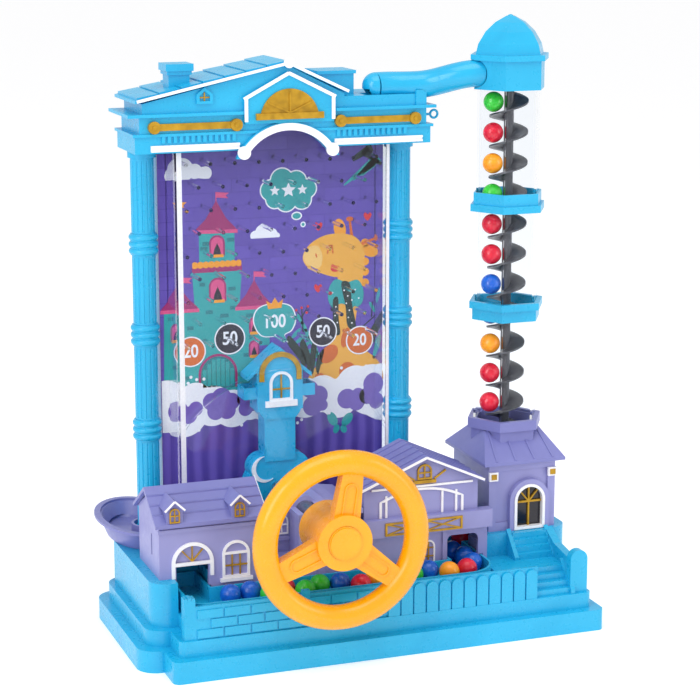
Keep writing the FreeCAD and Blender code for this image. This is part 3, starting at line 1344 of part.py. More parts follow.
def steering_wheel():
    rim = Part.makeTorus(WHEEL_R, RIM_R, V(AXIS_X, WHEEL_Y, AXIS_Z), V(0, 1, 0))
    drum = fuse([cyl_y(AXIS_X, AXIS_Z, DRUM_R, -19.0, 18.0), cyl_y(AXIS_X, AXIS_Z, 11.0, 18.0, 28.0)])
    spokes = []
    for turn in (0, 120, 240):
        blade = prism_y([(-9.4, 8.0), (9.4, 8.0), (6.4, WHEEL_R - 2), (-6.4, WHEEL_R - 2)], -16.0, -8.0)
        spoke = fuse([blade, spoke_rib()])
        spoke.rotate(V(0, 0, 0), V(0, 1, 0), turn + SPOKE_LEAN)
        spoke.translate(V(AXIS_X, 0, AXIS_Z))
        spokes.append(spoke)
    solid = fuse([rim, drum] + spokes)
    solid = solid.cut(cyl_y(AXIS_X, AXIS_Z, CAP_R + 0.2, -20.0, -17.4))
    return solid.cut(cyl_y(AXIS_X, AXIS_Z, SHAFT_R + 0.02, -12.0, 30.0))


def hub_cap():
    disc = fuse(
        [cyl_y(AXIS_X, AXIS_Z, CAP_R, -19.6, -17.4), cyl_y(AXIS_X, AXIS_Z, CAP_R - 0.9, -20.4, -19.6)]
    )
    return disc


def steering_shaft():
    shaft = cyl_y(AXIS_X, AXIS_Z, SHAFT_R, -12.0, SHAFT_BACK)
    return shaft


def catcher():
    y0, y1 = CATCH_Y
    x = AXIS_X
    hub = cyl_y(x, AXIS_Z, HUB_R, y0 + 2.5, y1 - 3.0)
    lobes = [cyl_y(x + side * LOBE_DX, AXIS_Z + LOBE_DZ, LOBE_R, y0 + 2.5, y1 - 3.0) for side in (-1, 1)]
    pole = box(x - 10.8, x + 10.8, y0 + 1.0, y1 - 2.0, AXIS_Z + 20, 142.0)
    body = box(x - 16.0, x + 16.0, y0, y1, 142.0, 166.0)
    chin = cyl_y(x, 148.0, 16.0, y0, y1).common(box(x - 16, x + 16, y0, y1, 136.0, 148.0))
    head = prism_y(
        [(x - 16.0, 160.0), (x + 16.0, 160.0), (x + 16.0, 169.1), (x, 182.5), (x - 16.0, 169.1)],
        y0, y1
    )
    roof = [
        prism_y([(x - 22.5, 163.5), (x, 182.4), (x, 185.2), (x - 22.5, 166.3)], y0 + 0.3, y1),
        prism_y([(x + 22.5, 163.5), (x, 182.4), (x, 185.2), (x + 22.5, 166.3)], y0 + 0.3, y1),
    ]
    solid = fuse([hub, pole, body, chin, head] + lobes + roof)
    cups = []
    for side in (-1, 1):
        cup = box(x + side * 20.4 - 4.6, x + side * 20.4 + 4.6, y0 + 1.0, y1 - 1.0, 150.5, 158.5)
        cup = cup.cut(box(x + side * 20.4 - 3.2, x + side * 20.4 + 3.2, y0 + 2.6, y1 - 2.6, 152.0, 160.0))
        cups.append(cup)
    solid = fuse([solid] + cups)
    solid = solid.cut(box(x - 13.6, x + 13.6, y0 + 2.2, y1 + 1, 152.0, 166.0))
    solid = solid.cut(cyl_y(x, AXIS_Z, SHAFT_R + 0.02, y0 - 1, SHAFT_BACK + 0.1))
    return solid


def catcher_white():
    y1 = CATCH_Y[0]
    x = AXIS_X
    frame = arch_frame(x + 0.6, 148.8, 160.6, 8.2, 1.9, y1 - 1.0, y1, 1.6)
    sill = box(x - 10.6, x + 11.8, y1 - 1.4, y1, 144.6, 148.8)
    lobe_x = x - LOBE_DX
    lobe_z = AXIS_Z + LOBE_DZ
    crescent = cyl_y(lobe_x, lobe_z, LOBE_R - 1.2, y1 + 1.5, y1 + 2.5)
    crescent = crescent.cut(cyl_y(lobe_x + 2.2, lobe_z + 0.8, LOBE_R - 1.8, y1, y1 + 3))
    return group([frame, sill, crescent])


def catcher_gold():
    y1 = CATCH_Y[0]
    x = AXIS_X
    arch = arch_frame(x, 162.6, 167.4, 14.8, 3.4, y1 - 1.4, y1)
    cross = fuse([
        box(x + 0.1, x + 1.1, y1 - 0.9, y1, 150.5, 166.8),
        box(x - 5.6, x + 6.8, y1 - 0.9, y1, 156.2, 157.2),
    ])
    return group([arch, cross])


# ================================================================ gears, motor
def spur_gear(x, y, teeth, z0, z1, turn):
    pitch_r = teeth * GEAR_MODULE / 2.0
    root_r = pitch_r - 1.15 * GEAR_MODULE
    tip_r = pitch_r + 0.9 * GEAR_MODULE
    points = []
    for k in range(teeth):
        a = 2 * math.pi * k / teeth + turn
        step = 2 * math.pi / teeth
        for r, f in (
            (root_r, -0.30), (pitch_r, -0.22), (tip_r, -0.11), (tip_r, 0.11), (pitch_r, 0.22),
            (root_r, 0.30)
        ):
            points.append((x + r * math.cos(a + f * step), y + r * math.sin(a + f * step)))
    return prism_z(points, z0, z1)


def gear_centre():
    # motor pinion position beside the screw's gear
    reach = GEAR_MODULE * (GEAR_TEETH + PINION_TEETH) / 2.0 + 0.12
    return TOWER_X - reach, TOWER_Y


def auger_gear():
    gear = spur_gear(TOWER_X, TOWER_Y, GEAR_TEETH, GEAR_Z[0], GEAR_Z[1] - 0.5, 0.0)
    return gear.cut(cyl_z(TOWER_X, TOWER_Y, 2.52, GEAR_Z[0] - 1, GEAR_Z[1] + 1))


def motor_pinion():
    # pinion pressed on the motor's spindle
    x, y = gear_centre()
    turn = math.pi / PINION_TEETH
    gear = spur_gear(x, y, PINION_TEETH, GEAR_Z[0] - 0.3, GEAR_Z[1] - 0.3, turn)
    return gear.fuse(cyl_z(x, y, 1.0, 18.4, GEAR_Z[1] + 0.2))


def motor():
    x, y = gear_centre()
    can = cyl_z(x, y, 10.0, 4.0, 18.0)
    nose = cyl_z(x, y, 3.0, 18.0, 19.4)
    flats = can.common(box(x - 10, x + 10, y - 7.8, y + 7.8, 0, 30))
    return fuse([flats, nose]).cut(cyl_z(x, y, 1.0 + 0.04, 18.2, 30.0))


# ================================================================ bowl, screws
def oval(half_x, half_y, z):
    # oval wire about the bowl's middle
    centre = V(BOWL_X, BOWL_Y, z)
    curve = Part.Ellipse(centre + V(0, half_y, 0), centre + V(half_x, 0, 0), centre)
    return Part.Wire(curve.toShape())


def bowl():
    low = BODY_TOP + 0.1
    outer = fuse([
        Part.makeLoft([oval(19, 37, low), oval(24, 43, 66.0)], True, True),
        Part.makeLoft([oval(27, 46.5, 66.0), oval(27, 46.5, 67.6)], True, True),
    ])
    dish = Part.makeLoft([oval(16.8, 34.8, BOWL_FLOOR), oval(21.8, 40.6, 66.4)], True, True)
    rim = Part.makeLoft([oval(22.8, 41.8, 66.2), oval(22.8, 41.8, 68.0)], True, True)
    well = Part.makeLoft([oval(11, 13, BOWL_FLOOR - 1.6), oval(12, 14, BOWL_FLOOR + 0.5)], True, True)
    well.translate(V(-3.0, 22.0, 0))
    column_x = BOARD_X - COLUMN_DX
    room = [
        box(BOWL_NOTCH_X, 0.0, 60.0, BOWL_NOTCH_Y, 40.0, 90.0),
        cyl_z(column_x, COLUMN_Y, BOWL_SLEEVE_R, 40.0, 90.0),
        box(column_x - 10.2, 0.0, COLUMN_Y - 10.4, COLUMN_Y + 10.4, 40.0, BODY_TOP + 3.2),
    ]
    lining = [
        box(BOWL_NOTCH_X - 1.8, 0.0, 60.0, BOWL_NOTCH_Y + 1.8, 40.0, 90.0),
        cyl_z(column_x, COLUMN_Y, BOWL_SLEEVE_R + 1.8, 40.0, 90.0),
        box(column_x - 12.0, 0.0, COLUMN_Y - 12.2, COLUMN_Y + 12.2, 40.0, BODY_TOP + 5.0),
    ]
    return outer.cut(fuse([dish, rim, well]).cut(fuse(lining))).cut(fuse(room))


def case_screws():
    screws = []
    y1 = PANEL_Y + PANEL_T + BOARD_T
    for x, z in back_screws():
        head = cyl_y(x, z, 2.6, y1 - 1.5, y1 - 0.2)
        head = head.cut(box(x - 1.8, x + 1.8, y1 - 0.6, y1, z - 0.3, z + 0.3))
        screws.append(fuse([head, cyl_y(x, z, 1.2, y1 - 7.6, y1 - 1.4)]))
    for x, y in screw_bosses():
        head = cyl_z(x, y, 2.8, 1.4, 2.85)
        head = head.cut(box(x - 2.0, x + 2.0, y - 0.3, y + 0.3, 1.0, 2.0))
        screws.append(fuse([head, cyl_z(x, y, 1.4, 2.8, 4.4)]))
    return group(screws)


NODES = {
    "base_shell": base_shell,
    "bottom_plate": bottom_plate,
    "battery_door": battery_door,
    "battery_door_screw": battery_door_screw,
    "batteries": batteries,
    "battery_contacts": battery_contacts,
    "rubber_feet": rubber_feet,
    "power_switch_body": power_switch_body,
    "power_switch_slider": power_switch_slider,
    "front_wall": front_wall,
    "ball_trough": ball_trough,
    "auger": auger,
    "auger_gear": auger_gear,
    "motor": motor,
    "motor_pinion": motor_pinion,
    "tower_tubes": tower_tubes,
    "tower_collars": tower_collars,
    "tower_cap": tower_cap,
    "tower_dome": tower_dome,
    "chute_pipe": chute_pipe,
    "tower_house": tower_house,
    "tower_roof": tower_roof,
    "tower_window_frame": tower_window_frame,
    "tower_window_gold": tower_window_gold,
    "tower_window_pane": tower_window_pane,
    "left_house": left_house,
    "left_roof": left_roof,
    "left_white": left_white,
    "left_gold": left_gold,
    "middle_house": middle_house,
    "middle_white": middle_white,
    "right_house": right_house,
    "right_roof": right_roof,
    "right_white": right_white,
    "right_gold": right_gold,
    "board_shell": board_shell,
    "art_panel": art_panel,
    "clear_cover": clear_cover,
    "pegs": pegs,
    "columns": columns,
    "pediment_body": pediment_body,
    "pediment_roof": pediment_roof,
    "pediment_white": pediment_white,
    "pediment_gold": pediment_gold,
    "steering_wheel": steering_wheel,
    "hub_cap": hub_cap,
    "steering_shaft": steering_shaft,
    "catcher": catcher,
    "catcher_white": catcher_white,
    "catcher_gold": catcher_gold,
    "bowl": bowl,
    "case_screws": case_screws,
}

os.makedirs("parts", exist_ok=True)
for name, make in NODES.items():
    make().exportStep("parts/" + name + ".step")
for colour in ("red", "blue", "green", "orange"):
    trough_balls(colour).exportStep("parts/trough_balls_" + colour + ".step")
for colour in ("red", "blue", "green", "orange"):
    lift_balls(colour).exportStep("parts/lift_balls_" + colour + ".step")
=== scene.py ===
# %% [markdown]
# # A castle ball toy for the table top
# The toy's real shapes come from a finished engineering model, in metres, one object to each
# moulded part. This lesson gives every part its finish, draws the printed picture behind the
# pegs, and sets up a soft studio round it.
# The first cell loads that model and keeps the size of its box.

# %% Load the frame
import json
import math

import bmesh
import bpy
from mathutils import Matrix, Vector

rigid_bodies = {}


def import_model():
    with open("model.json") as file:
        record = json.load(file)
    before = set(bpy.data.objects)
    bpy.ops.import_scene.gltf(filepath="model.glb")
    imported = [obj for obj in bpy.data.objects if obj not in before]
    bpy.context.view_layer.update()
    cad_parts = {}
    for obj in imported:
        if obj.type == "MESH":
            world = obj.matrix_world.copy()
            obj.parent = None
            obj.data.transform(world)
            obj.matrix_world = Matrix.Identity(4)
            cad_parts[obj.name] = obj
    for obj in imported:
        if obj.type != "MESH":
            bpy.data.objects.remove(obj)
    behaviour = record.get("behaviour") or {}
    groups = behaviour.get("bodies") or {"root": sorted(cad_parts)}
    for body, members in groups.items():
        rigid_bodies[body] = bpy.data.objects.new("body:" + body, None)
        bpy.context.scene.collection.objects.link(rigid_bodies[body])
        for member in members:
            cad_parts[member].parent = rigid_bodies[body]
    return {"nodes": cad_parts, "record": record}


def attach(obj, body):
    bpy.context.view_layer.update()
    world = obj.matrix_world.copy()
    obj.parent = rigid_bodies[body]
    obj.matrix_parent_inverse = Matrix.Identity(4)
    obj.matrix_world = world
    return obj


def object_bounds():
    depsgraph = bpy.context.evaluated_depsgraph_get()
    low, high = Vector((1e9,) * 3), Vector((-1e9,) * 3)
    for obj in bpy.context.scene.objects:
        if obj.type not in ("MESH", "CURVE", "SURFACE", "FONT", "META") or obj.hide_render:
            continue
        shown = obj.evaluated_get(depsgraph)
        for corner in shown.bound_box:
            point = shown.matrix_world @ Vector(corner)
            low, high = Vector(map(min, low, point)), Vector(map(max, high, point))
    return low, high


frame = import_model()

cad_low, cad_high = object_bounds()
nodes = frame["nodes"]
MM = 0.001
print("parts:", len(nodes), "box in mm:", [round(x / MM) for x in (cad_high - cad_low)])

# %% [markdown]
# ## Where we stand
# A long lens a good metre away keeps the toy's edges almost parallel. The camera looks a little
# down and a little from the left. Its direction is a unit vector, and `to_track_quat` turns the
# camera's own -Z axis along it.

# %% Camera
LOOK = Vector((0.33577, 0.91754, -0.21303))
STAND = Vector((-461.19, -1182.16, 479.32)) * MM
LENS, SENSOR = 107.1, 36.0
camera_data = bpy.data.cameras.new("camera")
camera_data.lens = LENS
camera_data.sensor_width = SENSOR
camera_data.clip_end = 20.0
camera = bpy.data.objects.new("camera", camera_data)
bpy.context.scene.collection.objects.link(camera)
camera.location = STAND
camera.rotation_mode = "QUATERNION"
camera.rotation_quaternion = LOOK.to_track_quat("-Z", "Y")
bpy.context.scene.camera = camera
print("camera", round(camera.location.length, 3), "m from the front edge")

# %% [markdown]
# ## Soft studio light
# Glossy plastic shows its shape through the lights it mirrors, so large panels of light do the
# work: a tall one at the left, a weaker one at the right, and a wide one overhead. A white world
# fills the shadows. The floor is a large sheet of matt paper that gives off a little light of its
# own, so it stays white right up to the horizon.

# %% Lights, world and floor
FLOOR_HALF = 40.0
WORLD_STRENGTH = 0.78
PAPER_GLOW = 0.25


def soft_box(name, place, size, power):
    """A panel of light in metres that faces the middle of the toy."""
    lamp = bpy.data.lights.new(name, "AREA")
    lamp.shape = "RECTANGLE"
    lamp.size, lamp.size_y = size
    lamp.energy = power
    panel = bpy.data.objects.new(name, lamp)
    bpy.context.scene.collection.objects.link(panel)
    panel.location = place
    middle = (cad_low + cad_high) / 2
    panel.rotation_mode = "QUATERNION"
    panel.rotation_quaternion = (middle - Vector(place)).to_track_quat("-Z", "Y")


soft_box("left_panel", (-1.35, -0.75, 0.85), (0.7, 1.2), 9.0)
soft_box("right_panel", (1.3, -1.0, 0.7), (0.5, 1.1), 4.0)
soft_box("top_panel", (-0.1, -0.35, 1.6), (1.3, 1.0), 8.0)

world = bpy.data.worlds.new("studio")
world.use_nodes = True
world.node_tree.nodes["Background"].inputs["Color"].default_value = (1.0, 1.0, 1.0, 1.0)
world.node_tree.nodes["Background"].inputs["Strength"].default_value = WORLD_STRENGTH
bpy.context.scene.world = world
bpy.context.scene.view_settings.view_transform = "Standard"

floor_mesh = bpy.data.meshes.new("floor")
floor_bm = bmesh.new()
bmesh.ops.create_grid(floor_bm, x_segments=1, y_segments=1, size=FLOOR_HALF)
floor_bm.to_mesh(floor_mesh)
floor_bm.free()
floor = bpy.data.objects.new("floor", floor_mesh)
bpy.context.scene.collection.objects.link(floor)
paper = bpy.data.materials.new("white_studio_paper")
paper.use_nodes = True
matt = paper.node_tree.nodes["Principled BSDF"]
matt.inputs["Base Color"].default_value = (0.94, 0.94, 0.95, 1.0)
matt.inputs["Roughness"].default_value = 0.9
matt.inputs["Specular IOR Level"].default_value = 0.1
matt.inputs["Emission Color"].default_value = (1.0, 1.0, 1.0, 1.0)
matt.inputs["Emission Strength"].default_value = PAPER_GLOW
floor_mesh.materials.append(paper)

# %% [markdown]
# ## Two helpers for finishes
# Colours are picked as the familiar six-digit screen colours. A shader works in linear light, so
# one function converts them. Another adds a node, sets it and wires it in one line, which keeps
# each finish below short enough to read as a recipe. The last puts a finished mesh into the scene
# and fixes it to the body of the toy, for every piece that this lesson adds.

# %% Colour and node helpers
def linear(code):
    """A screen colour such as "3DB8E8" as linear light, fully opaque."""
    parts = [int(code[i:i + 2], 16) / 255 for i in (0, 2, 4)]
    return [c / 12.92 if c <= 0.04045 else ((c + 0.055) / 1.055) ** 2.4 for c in parts] + [1.0]


def add(tree, kind, inputs=None, **settings):
    """Add a shader node, set its properties, and fill or link its inputs."""
    made = tree.nodes.new("ShaderNode" + kind)
    for key, value in settings.items():
        setattr(made, key, value)
    for key, value in (inputs or {}).items():
        if isinstance(value, bpy.types.NodeSocket):
            tree.links.new(value, made.inputs[key])
        else:
            made.inputs[key].default_value = value
    return made


def new_finish(name):
    """An empty material with its output and Object coordinates ready."""
    finish = bpy.data.materials.new(name)
    finish.use_nodes = True
    tree = finish.node_tree
    tree.nodes.clear()
    out = add(tree, "OutputMaterial")
    place = add(tree, "TexCoord").outputs["Object"]
    return finish, tree, out, place


def shades(tree, factor, stops):
    """A colour ramp from (position, screen colour) pairs."""
    ramp = add(tree, "ValToRGB", {"Fac": factor})
    points = ramp.color_ramp.elements
    while len(points) < len(stops):
        points.new(0.5)
    for point, (where, code) in zip(points, stops):
        point.position = where
        point.color = linear(code)
    return ramp.outputs["Color"]


def add_piece(name, mesh, finish):
    """Put a mesh in the scene, give it one finish and let it ride on the toy."""
    mesh.materials.append(finish)
    piece = bpy.data.objects.new(name, mesh)
    bpy.context.scene.collection.objects.link(piece)
    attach(piece, "toy")


print("helpers ready; white is", linear("FFFFFF")[:3])

# %% [markdown]
# ## Moulded ABS
# Nearly all of the toy is injection-moulded ABS. Straight from a polished mould it is glossy, but
# never a mirror: the surface has a faint orange peel from the cooling skin, flow marks a few
# centimetres long, and a slight unevenness of the pigment. Three noises at those three real sizes
# give it: 0.5 mm for the peel, 4 mm for handling marks in the gloss, and 45 mm for the colour.

# %% Moulded ABS finishes
PEEL, MARKS, FLOW = 0.5 * MM, 4 * MM, 45 * MM


def moulded(name, body, deep, light, rough, peel=0.12, coat=0.0):
    """Glossy moulded plastic: a body colour with a deeper and a lighter flow shade."""
    finish, tree, out, place = new_finish(name)
    flow = add(tree, "TexNoise", {"Vector": place, "Scale": 1 / FLOW, "Detail": 3.0, "Distortion": 0.6})
    colour = shades(tree, flow.outputs["Fac"], [(0.32, deep), (0.5, body), (0.7, light)])
    marks = add(tree, "TexNoise", {"Vector": place, "Scale": 1 / MARKS, "Detail": 4.0})
    gloss = add(tree, "MapRange", {"Value": marks.outputs["Fac"], "From Min": 0.3, "From Max": 0.7,
                                   "To Min": rough * 0.8, "To Max": rough * 1.25})
    grain = add(tree, "TexNoise", {"Vector": place, "Scale": 1 / PEEL, "Detail": 2.0})
    bump = add(tree, "Bump", {"Height": grain.outputs["Fac"], "Strength": peel, "Distance": 0.02 * MM})
    shader = add(tree, "BsdfPrincipled", {
        "Base Color": colour, "Roughness": gloss.outputs["Result"], "IOR": 1.53,
        "Normal": bump.outputs["Normal"], "Coat Weight": coat, "Coat Roughness": 0.12})
    tree.links.new(shader.outputs["BSDF"], out.inputs["Surface"])
    return finish


sky_abs = moulded("sky_blue_moulded_abs", "1AADDB", "16A7D6", "22B2E0", 0.3)
sky_gloss = moulded("sky_blue_polished_abs", "1AADDB", "16A7D6", "22B2E0", 0.22, 0.06)
base_abs = moulded("underside_blue_moulded_abs", "35A9D8", "2F9FCE", "3DB2DF", 0.42, 0.3)
lilac_abs = moulded("lilac_moulded_abs", "9393C9", "8E8EC4", "9898CE", 0.4, 0.2)
lilac_roof_abs = moulded("lilac_roof_moulded_abs", "7A7CBA", "7577B5", "8082BF", 0.38, 0.2)
yellow_abs = moulded("sunny_yellow_polished_abs", "F7A703", "F2A200", "FBAC06", 0.25, 0.05, 0.05)
black_pom = moulded("black_moulded_acetal", "46474D", "3C3D43", "52535A", 0.34, 0.15)
black_abs = moulded("black_moulded_abs", "26272B", "202125", "2E2F34", 0.45, 0.4)
gear_pom = moulded("white_moulded_acetal", "E9E7DF", "E2E0D6", "EFEDE6", 0.35, 0.1)
foot_rubber = moulded("grey_moulded_rubber", "3B3C40", "333438", "45464A", 0.8, 0.8)
print("ABS finishes:", [m.name for m in bpy.data.materials if "moulded" in m.name])

# %% [markdown]
# ## Painted trim
# The white verges, sills and arches, and the gold glazing bars and scrolls, are pad-printed paint
# on raised edges. White paint is thin and slightly uneven. The gold is a lacquer full of fine
# metal flakes: a half-metallic base with flakes about 0.6 mm across, drawn as coarse as they need
# to be to show, and a darker tone where the lacquer pooled.

# %% Painted trim finishes
FLAKE, POOL = 0.6 * MM, 6 * MM


def trim_white():
    """Thin white paint on a moulded edge."""
    finish, tree, out, place = new_finish("white_pad_printed_paint")
    brushed = add(tree, "TexNoise", {"Vector": place, "Scale": 1 / (3 * MM), "Detail": 3.0})
    colour = shades(tree, brushed.outputs["Fac"], [(0.3, "EFEEF3"), (0.55, "F6F5F8")])
    skin = add(tree, "TexNoise", {"Vector": place, "Scale": 1 / PEEL})
    bump = add(tree, "Bump", {"Height": skin.outputs["Fac"], "Strength": 0.2, "Distance": 0.03 * MM})
    shader = add(tree, "BsdfPrincipled", {"Base Color": colour, "Roughness": 0.35,
                                          "Normal": bump.outputs["Normal"]})
    tree.links.new(shader.outputs["BSDF"], out.inputs["Surface"])
    return finish


def trim_gold():
    """Gold flake lacquer."""
    finish, tree, out, place = new_finish("gold_flake_lacquer")
    pool = add(tree, "TexNoise", {"Vector": place, "Scale": 1 / POOL, "Detail": 2.0})
    colour = shades(tree, pool.outputs["Fac"], [(0.3, "A37B12"), (0.5, "B88C18"), (0.72, "C79A22")])
    flake = add(tree, "TexVoronoi", {"Vector": place, "Scale": 1 / FLAKE})
    spark = add(tree, "MapRange", {"Value": flake.outputs["Distance"], "From Max": 0.8,
                                   "To Min": 0.28, "To Max": 0.45})
    bump = add(tree, "Bump", {"Height": flake.outputs["Distance"], "Strength": 0.2,
                              "Distance": 0.03 * MM})
    shader = add(tree, "BsdfPrincipled", {"Base Color": colour, "Metallic": 0.35,
                                          "Roughness": spark.outputs["Result"],
                                          "Normal": bump.outputs["Normal"]})
    tree.links.new(shader.outputs["BSDF"], out.inputs["Surface"])
    return finish


white_paint = trim_white()
gold_paint = trim_gold()
print("paints:", white_paint.name, gold_paint.name)

# %% [markdown]
# ## Clear polystyrene
# The cover, the lift tube and the pegs are clear polystyrene. Solid polystyrene has an IOR of 1.59,
# but walls a millimetre or two thick look paler and less bent than that, so each index is set
# lower, to match the look of the toy. Clear shading makes a panel behind it go dark, because a
# renderer seldom finds the lamps through two bent surfaces. So shadow rays pass straight through,
# and every other ray meets the bending shader. Faint waves a centimetre long ripple the surface.

# %% Clear finishes
def clear(name, tint, rough, wave, index):
    """Clear moulded polystyrene that lets the lamps through."""
    finish, tree, out, place = new_finish(name)
    ripple = add(tree, "TexNoise", {"Vector": place, "Scale": 1 / (10 * MM), "Detail": 1.0})
    bump = add(tree, "Bump", {"Height": ripple.outputs["Fac"], "Strength": wave, "Distance": 0.2 * MM})
    body = add(tree, "BsdfPrincipled", {
        "Base Color": linear(tint), "Roughness": rough, "IOR": index,
        "Transmission Weight": 1.0, "Normal": bump.outputs["Normal"]})
    through = add(tree, "BsdfTransparent", {"Color": linear(tint)})
    ray = add(tree, "LightPath")
    mixed = add(tree, "MixShader", {0: ray.outputs["Is Shadow Ray"], 1: body.outputs["BSDF"],
                                    2: through.outputs["BSDF"]})
    tree.links.new(mixed.outputs["Shader"], out.inputs["Surface"])
    return finish


clear_cover = clear("clear_polystyrene_sheet", "F4F8FC", 0.02, 0.1, 1.3)
clear_tube = clear("clear_polystyrene_tube", "FAFCFE", 0.02, 0.15, 1.12)
clear_peg = clear("clear_polystyrene_peg", "FAFBFF", 0.08, 0.1, 1.25)
print("clear finishes ready")

# %% [markdown]
# ## Metal, paper and the balls
# Screws, the motor can and the battery contacts are zinc-plated or tinned steel: fine lines from
# rolling or turning, 0.3 mm apart. The balls are polypropylene: brighter and waxier than ABS, so
# a little light scatters under their skin. The card behind the pegs is violet with rows of faint
# bricks. `Brick Texture` lies in X and Y, so its coordinates are turned a quarter turn first.

# %% Metal, card and ball finishes
def plated(name, dark, pale, rough):
    """Plated steel with fine lines of working."""
    finish, tree, out, place = new_finish(name)
    stretch = add(tree, "Mapping", {"Vector": place, "Scale": (1.0, 1.0, 12.0)})
    lines = add(tree, "TexNoise", {"Vector": stretch.outputs["Vector"], "Scale": 1 / (3.6 * MM),
                                   "Detail": 4.0})
    colour = shades(tree, lines.outputs["Fac"], [(0.35, dark), (0.65, pale)])
    gloss = add(tree, "MapRange", {"Value": lines.outputs["Fac"], "To Min": rough * 0.7,
                                   "To Max": rough * 1.4})
    shader = add(tree, "BsdfPrincipled", {"Base Color": colour, "Metallic": 1.0,
                                          "Roughness": gloss.outputs["Result"]})
    tree.links.new(shader.outputs["BSDF"], out.inputs["Surface"])
    return finish


def waxy(name, body, deep):
    """Coloured polypropylene, slightly translucent."""
    finish, tree, out, place = new_finish(name)
    cloud = add(tree, "TexNoise", {"Vector": place, "Scale": 1 / (7 * MM), "Detail": 2.0})
    colour = shades(tree, cloud.outputs["Fac"], [(0.35, deep), (0.6, body)])
    skin = add(tree, "TexNoise", {"Vector": place, "Scale": 1 / (0.8 * MM), "Detail": 2.0})
    bump = add(tree, "Bump", {"Height": skin.outputs["Fac"], "Strength": 0.15, "Distance": 0.02 * MM})
    shader = add(tree, "BsdfPrincipled", {
        "Base Color": colour, "Roughness": 0.24, "IOR": 1.49, "Subsurface Weight": 0.12,
        "Subsurface Radius": (1.0, 1.0, 1.0), "Subsurface Scale": 1.0 * MM,
        "Normal": bump.outputs["Normal"]})
    tree.links.new(shader.outputs["BSDF"], out.inputs["Surface"])
    return finish


def card_finish():
    """Violet card with rows of faint bricks."""
    finish, tree, out, place = new_finish("violet_printed_card")
    flat = add(tree, "Mapping", {"Vector": place, "Rotation": (-math.pi / 2, 0.0, 0.0)})
    bricks = add(tree, "TexBrick", {
        "Vector": flat.outputs["Vector"], "Scale": 1.0, "Mortar Size": 0.35 * MM,
        "Brick Width": 26 * MM, "Row Height": 9 * MM, "Mortar Smooth": 0.6,
        "Color1": linear("5B44A4"), "Color2": linear("644DB0"), "Mortar": linear("50399A")})
    cloud = add(tree, "TexNoise", {"Vector": place, "Scale": 1 / (25 * MM), "Detail": 3.0})
    gloss = add(tree, "MapRange", {"Value": cloud.outputs["Fac"], "To Min": 0.3, "To Max": 0.5})
    shader = add(tree, "BsdfPrincipled", {"Base Color": bricks.outputs["Color"],
                                          "Roughness": gloss.outputs["Result"]})
    tree.links.new(shader.outputs["BSDF"], out.inputs["Surface"])
    return finish


zinc = plated("zinc_plated_steel", "9EA2A8", "C9CCD1", 0.32)
tinned = plated("tinned_spring_steel", "B4B8BD", "DADDE0", 0.25)
can_steel = plated("drawn_steel_can", "8D9197", "B4B8BE", 0.35)
cell_film = moulded("grey_printed_cell_film", "4A4D52", "414449", "585B61", 0.3, 0.05)
ball_finish = {
    "red": waxy("red_moulded_polypropylene", "E3203C", "CF1530"),
    "blue": waxy("blue_moulded_polypropylene", "1565D0", "0F55B8"),
    "green": waxy("green_moulded_polypropylene", "3CCB3C", "2DB82F"),
    "orange": waxy("orange_moulded_polypropylene", "FFA41E", "F59210")}
pane_dark = moulded("dark_moulded_window_pane", "15111F", "100C18", "1E1828", 0.12, 0.03)
violet_card = card_finish()
print("metals and balls ready")

# %% [markdown]
# ## Every part gets its finish
# The model's parts carry plain slot colours. Each part's slots are pointed at a finish made
# above, chosen by the part's name or, failing that, by the slot it was given.

# %% Finish the model's parts
by_slot = {
    "blue_shell": sky_abs, "underside_blue": base_abs, "zinc_screw": zinc, "cell_wrap": cell_film,
    "contact_plate": tinned, "foot_rubber": foot_rubber, "black_plastic": black_abs,
    "screw_grey": black_pom, "gear_white": gear_pom, "motor_can": can_steel,
    "clear_plastic": clear_tube, "clear_peg": clear_peg, "lavender": lilac_abs,
    "lavender_roof": lilac_roof_abs, "white_trim": white_paint, "gold_trim": gold_paint,
    "dark_pane": pane_dark, "printed_panel": violet_card, "yellow_plastic": yellow_abs,
    "steel_rod": can_steel, "ball_red": ball_finish["red"], "ball_blue": ball_finish["blue"],
    "ball_green": ball_finish["green"], "ball_orange": ball_finish["orange"]}
by_part = {"clear_cover": clear_cover, "chute_pipe": sky_gloss, "tower_dome": sky_gloss}
for part in frame["record"]["subparts"]:
    finish = by_part.get(part["node"], by_slot[part["material_slot"]])
    slots = nodes[part["node"]].material_slots
    for slot in slots:
        slot.material = finish

# %% [markdown]
# ## The printed picture: drawing with outlines
# Behind the pegs stands a printed card. Its picture is drawn with flat shapes, each a thin slab
# like a layer of ink, and each level of ink lies a twentieth of a millimetre in front of the one
# below so that no two shapes fight for the same place. All coordinates are millimetres across
# and up the card. `smooth` runs a closed curve through a few points, and `puffs` gives the outer
# line of overlapping circles, which is all that a cloud is.

# %% Outline helpers
CARD_Y, INK = 128.8, 0.05


def smooth(points, steps=7):
    """A closed curve through the points."""
    line = []
    count = len(points)
    for k in range(count):
        p0, p1, p2, p3 = (Vector(points[(k + j - 1) % count]) for j in range(4))
        for step in range(steps):
            t = step / steps
            line.append(0.5 * ((2 * p1) + (p2 - p0) * t + (2 * p0 - 5 * p1 + 4 * p2 - p3) * t * t
                               + (3 * p1 - p0 - 3 * p2 + p3) * t ** 3))
    return line


def oval(x, z, wide, high, turn=0.0, count=40):
    """An ellipse, turned by some degrees."""
    c, s = math.cos(math.radians(turn)), math.sin(math.radians(turn))
    ring = [(wide * math.cos(2 * math.pi * k / count), high * math.sin(2 * math.pi * k / count))
            for k in range(count)]
    return [Vector((x + a * c - b * s, z + a * s + b * c)) for a, b in ring]


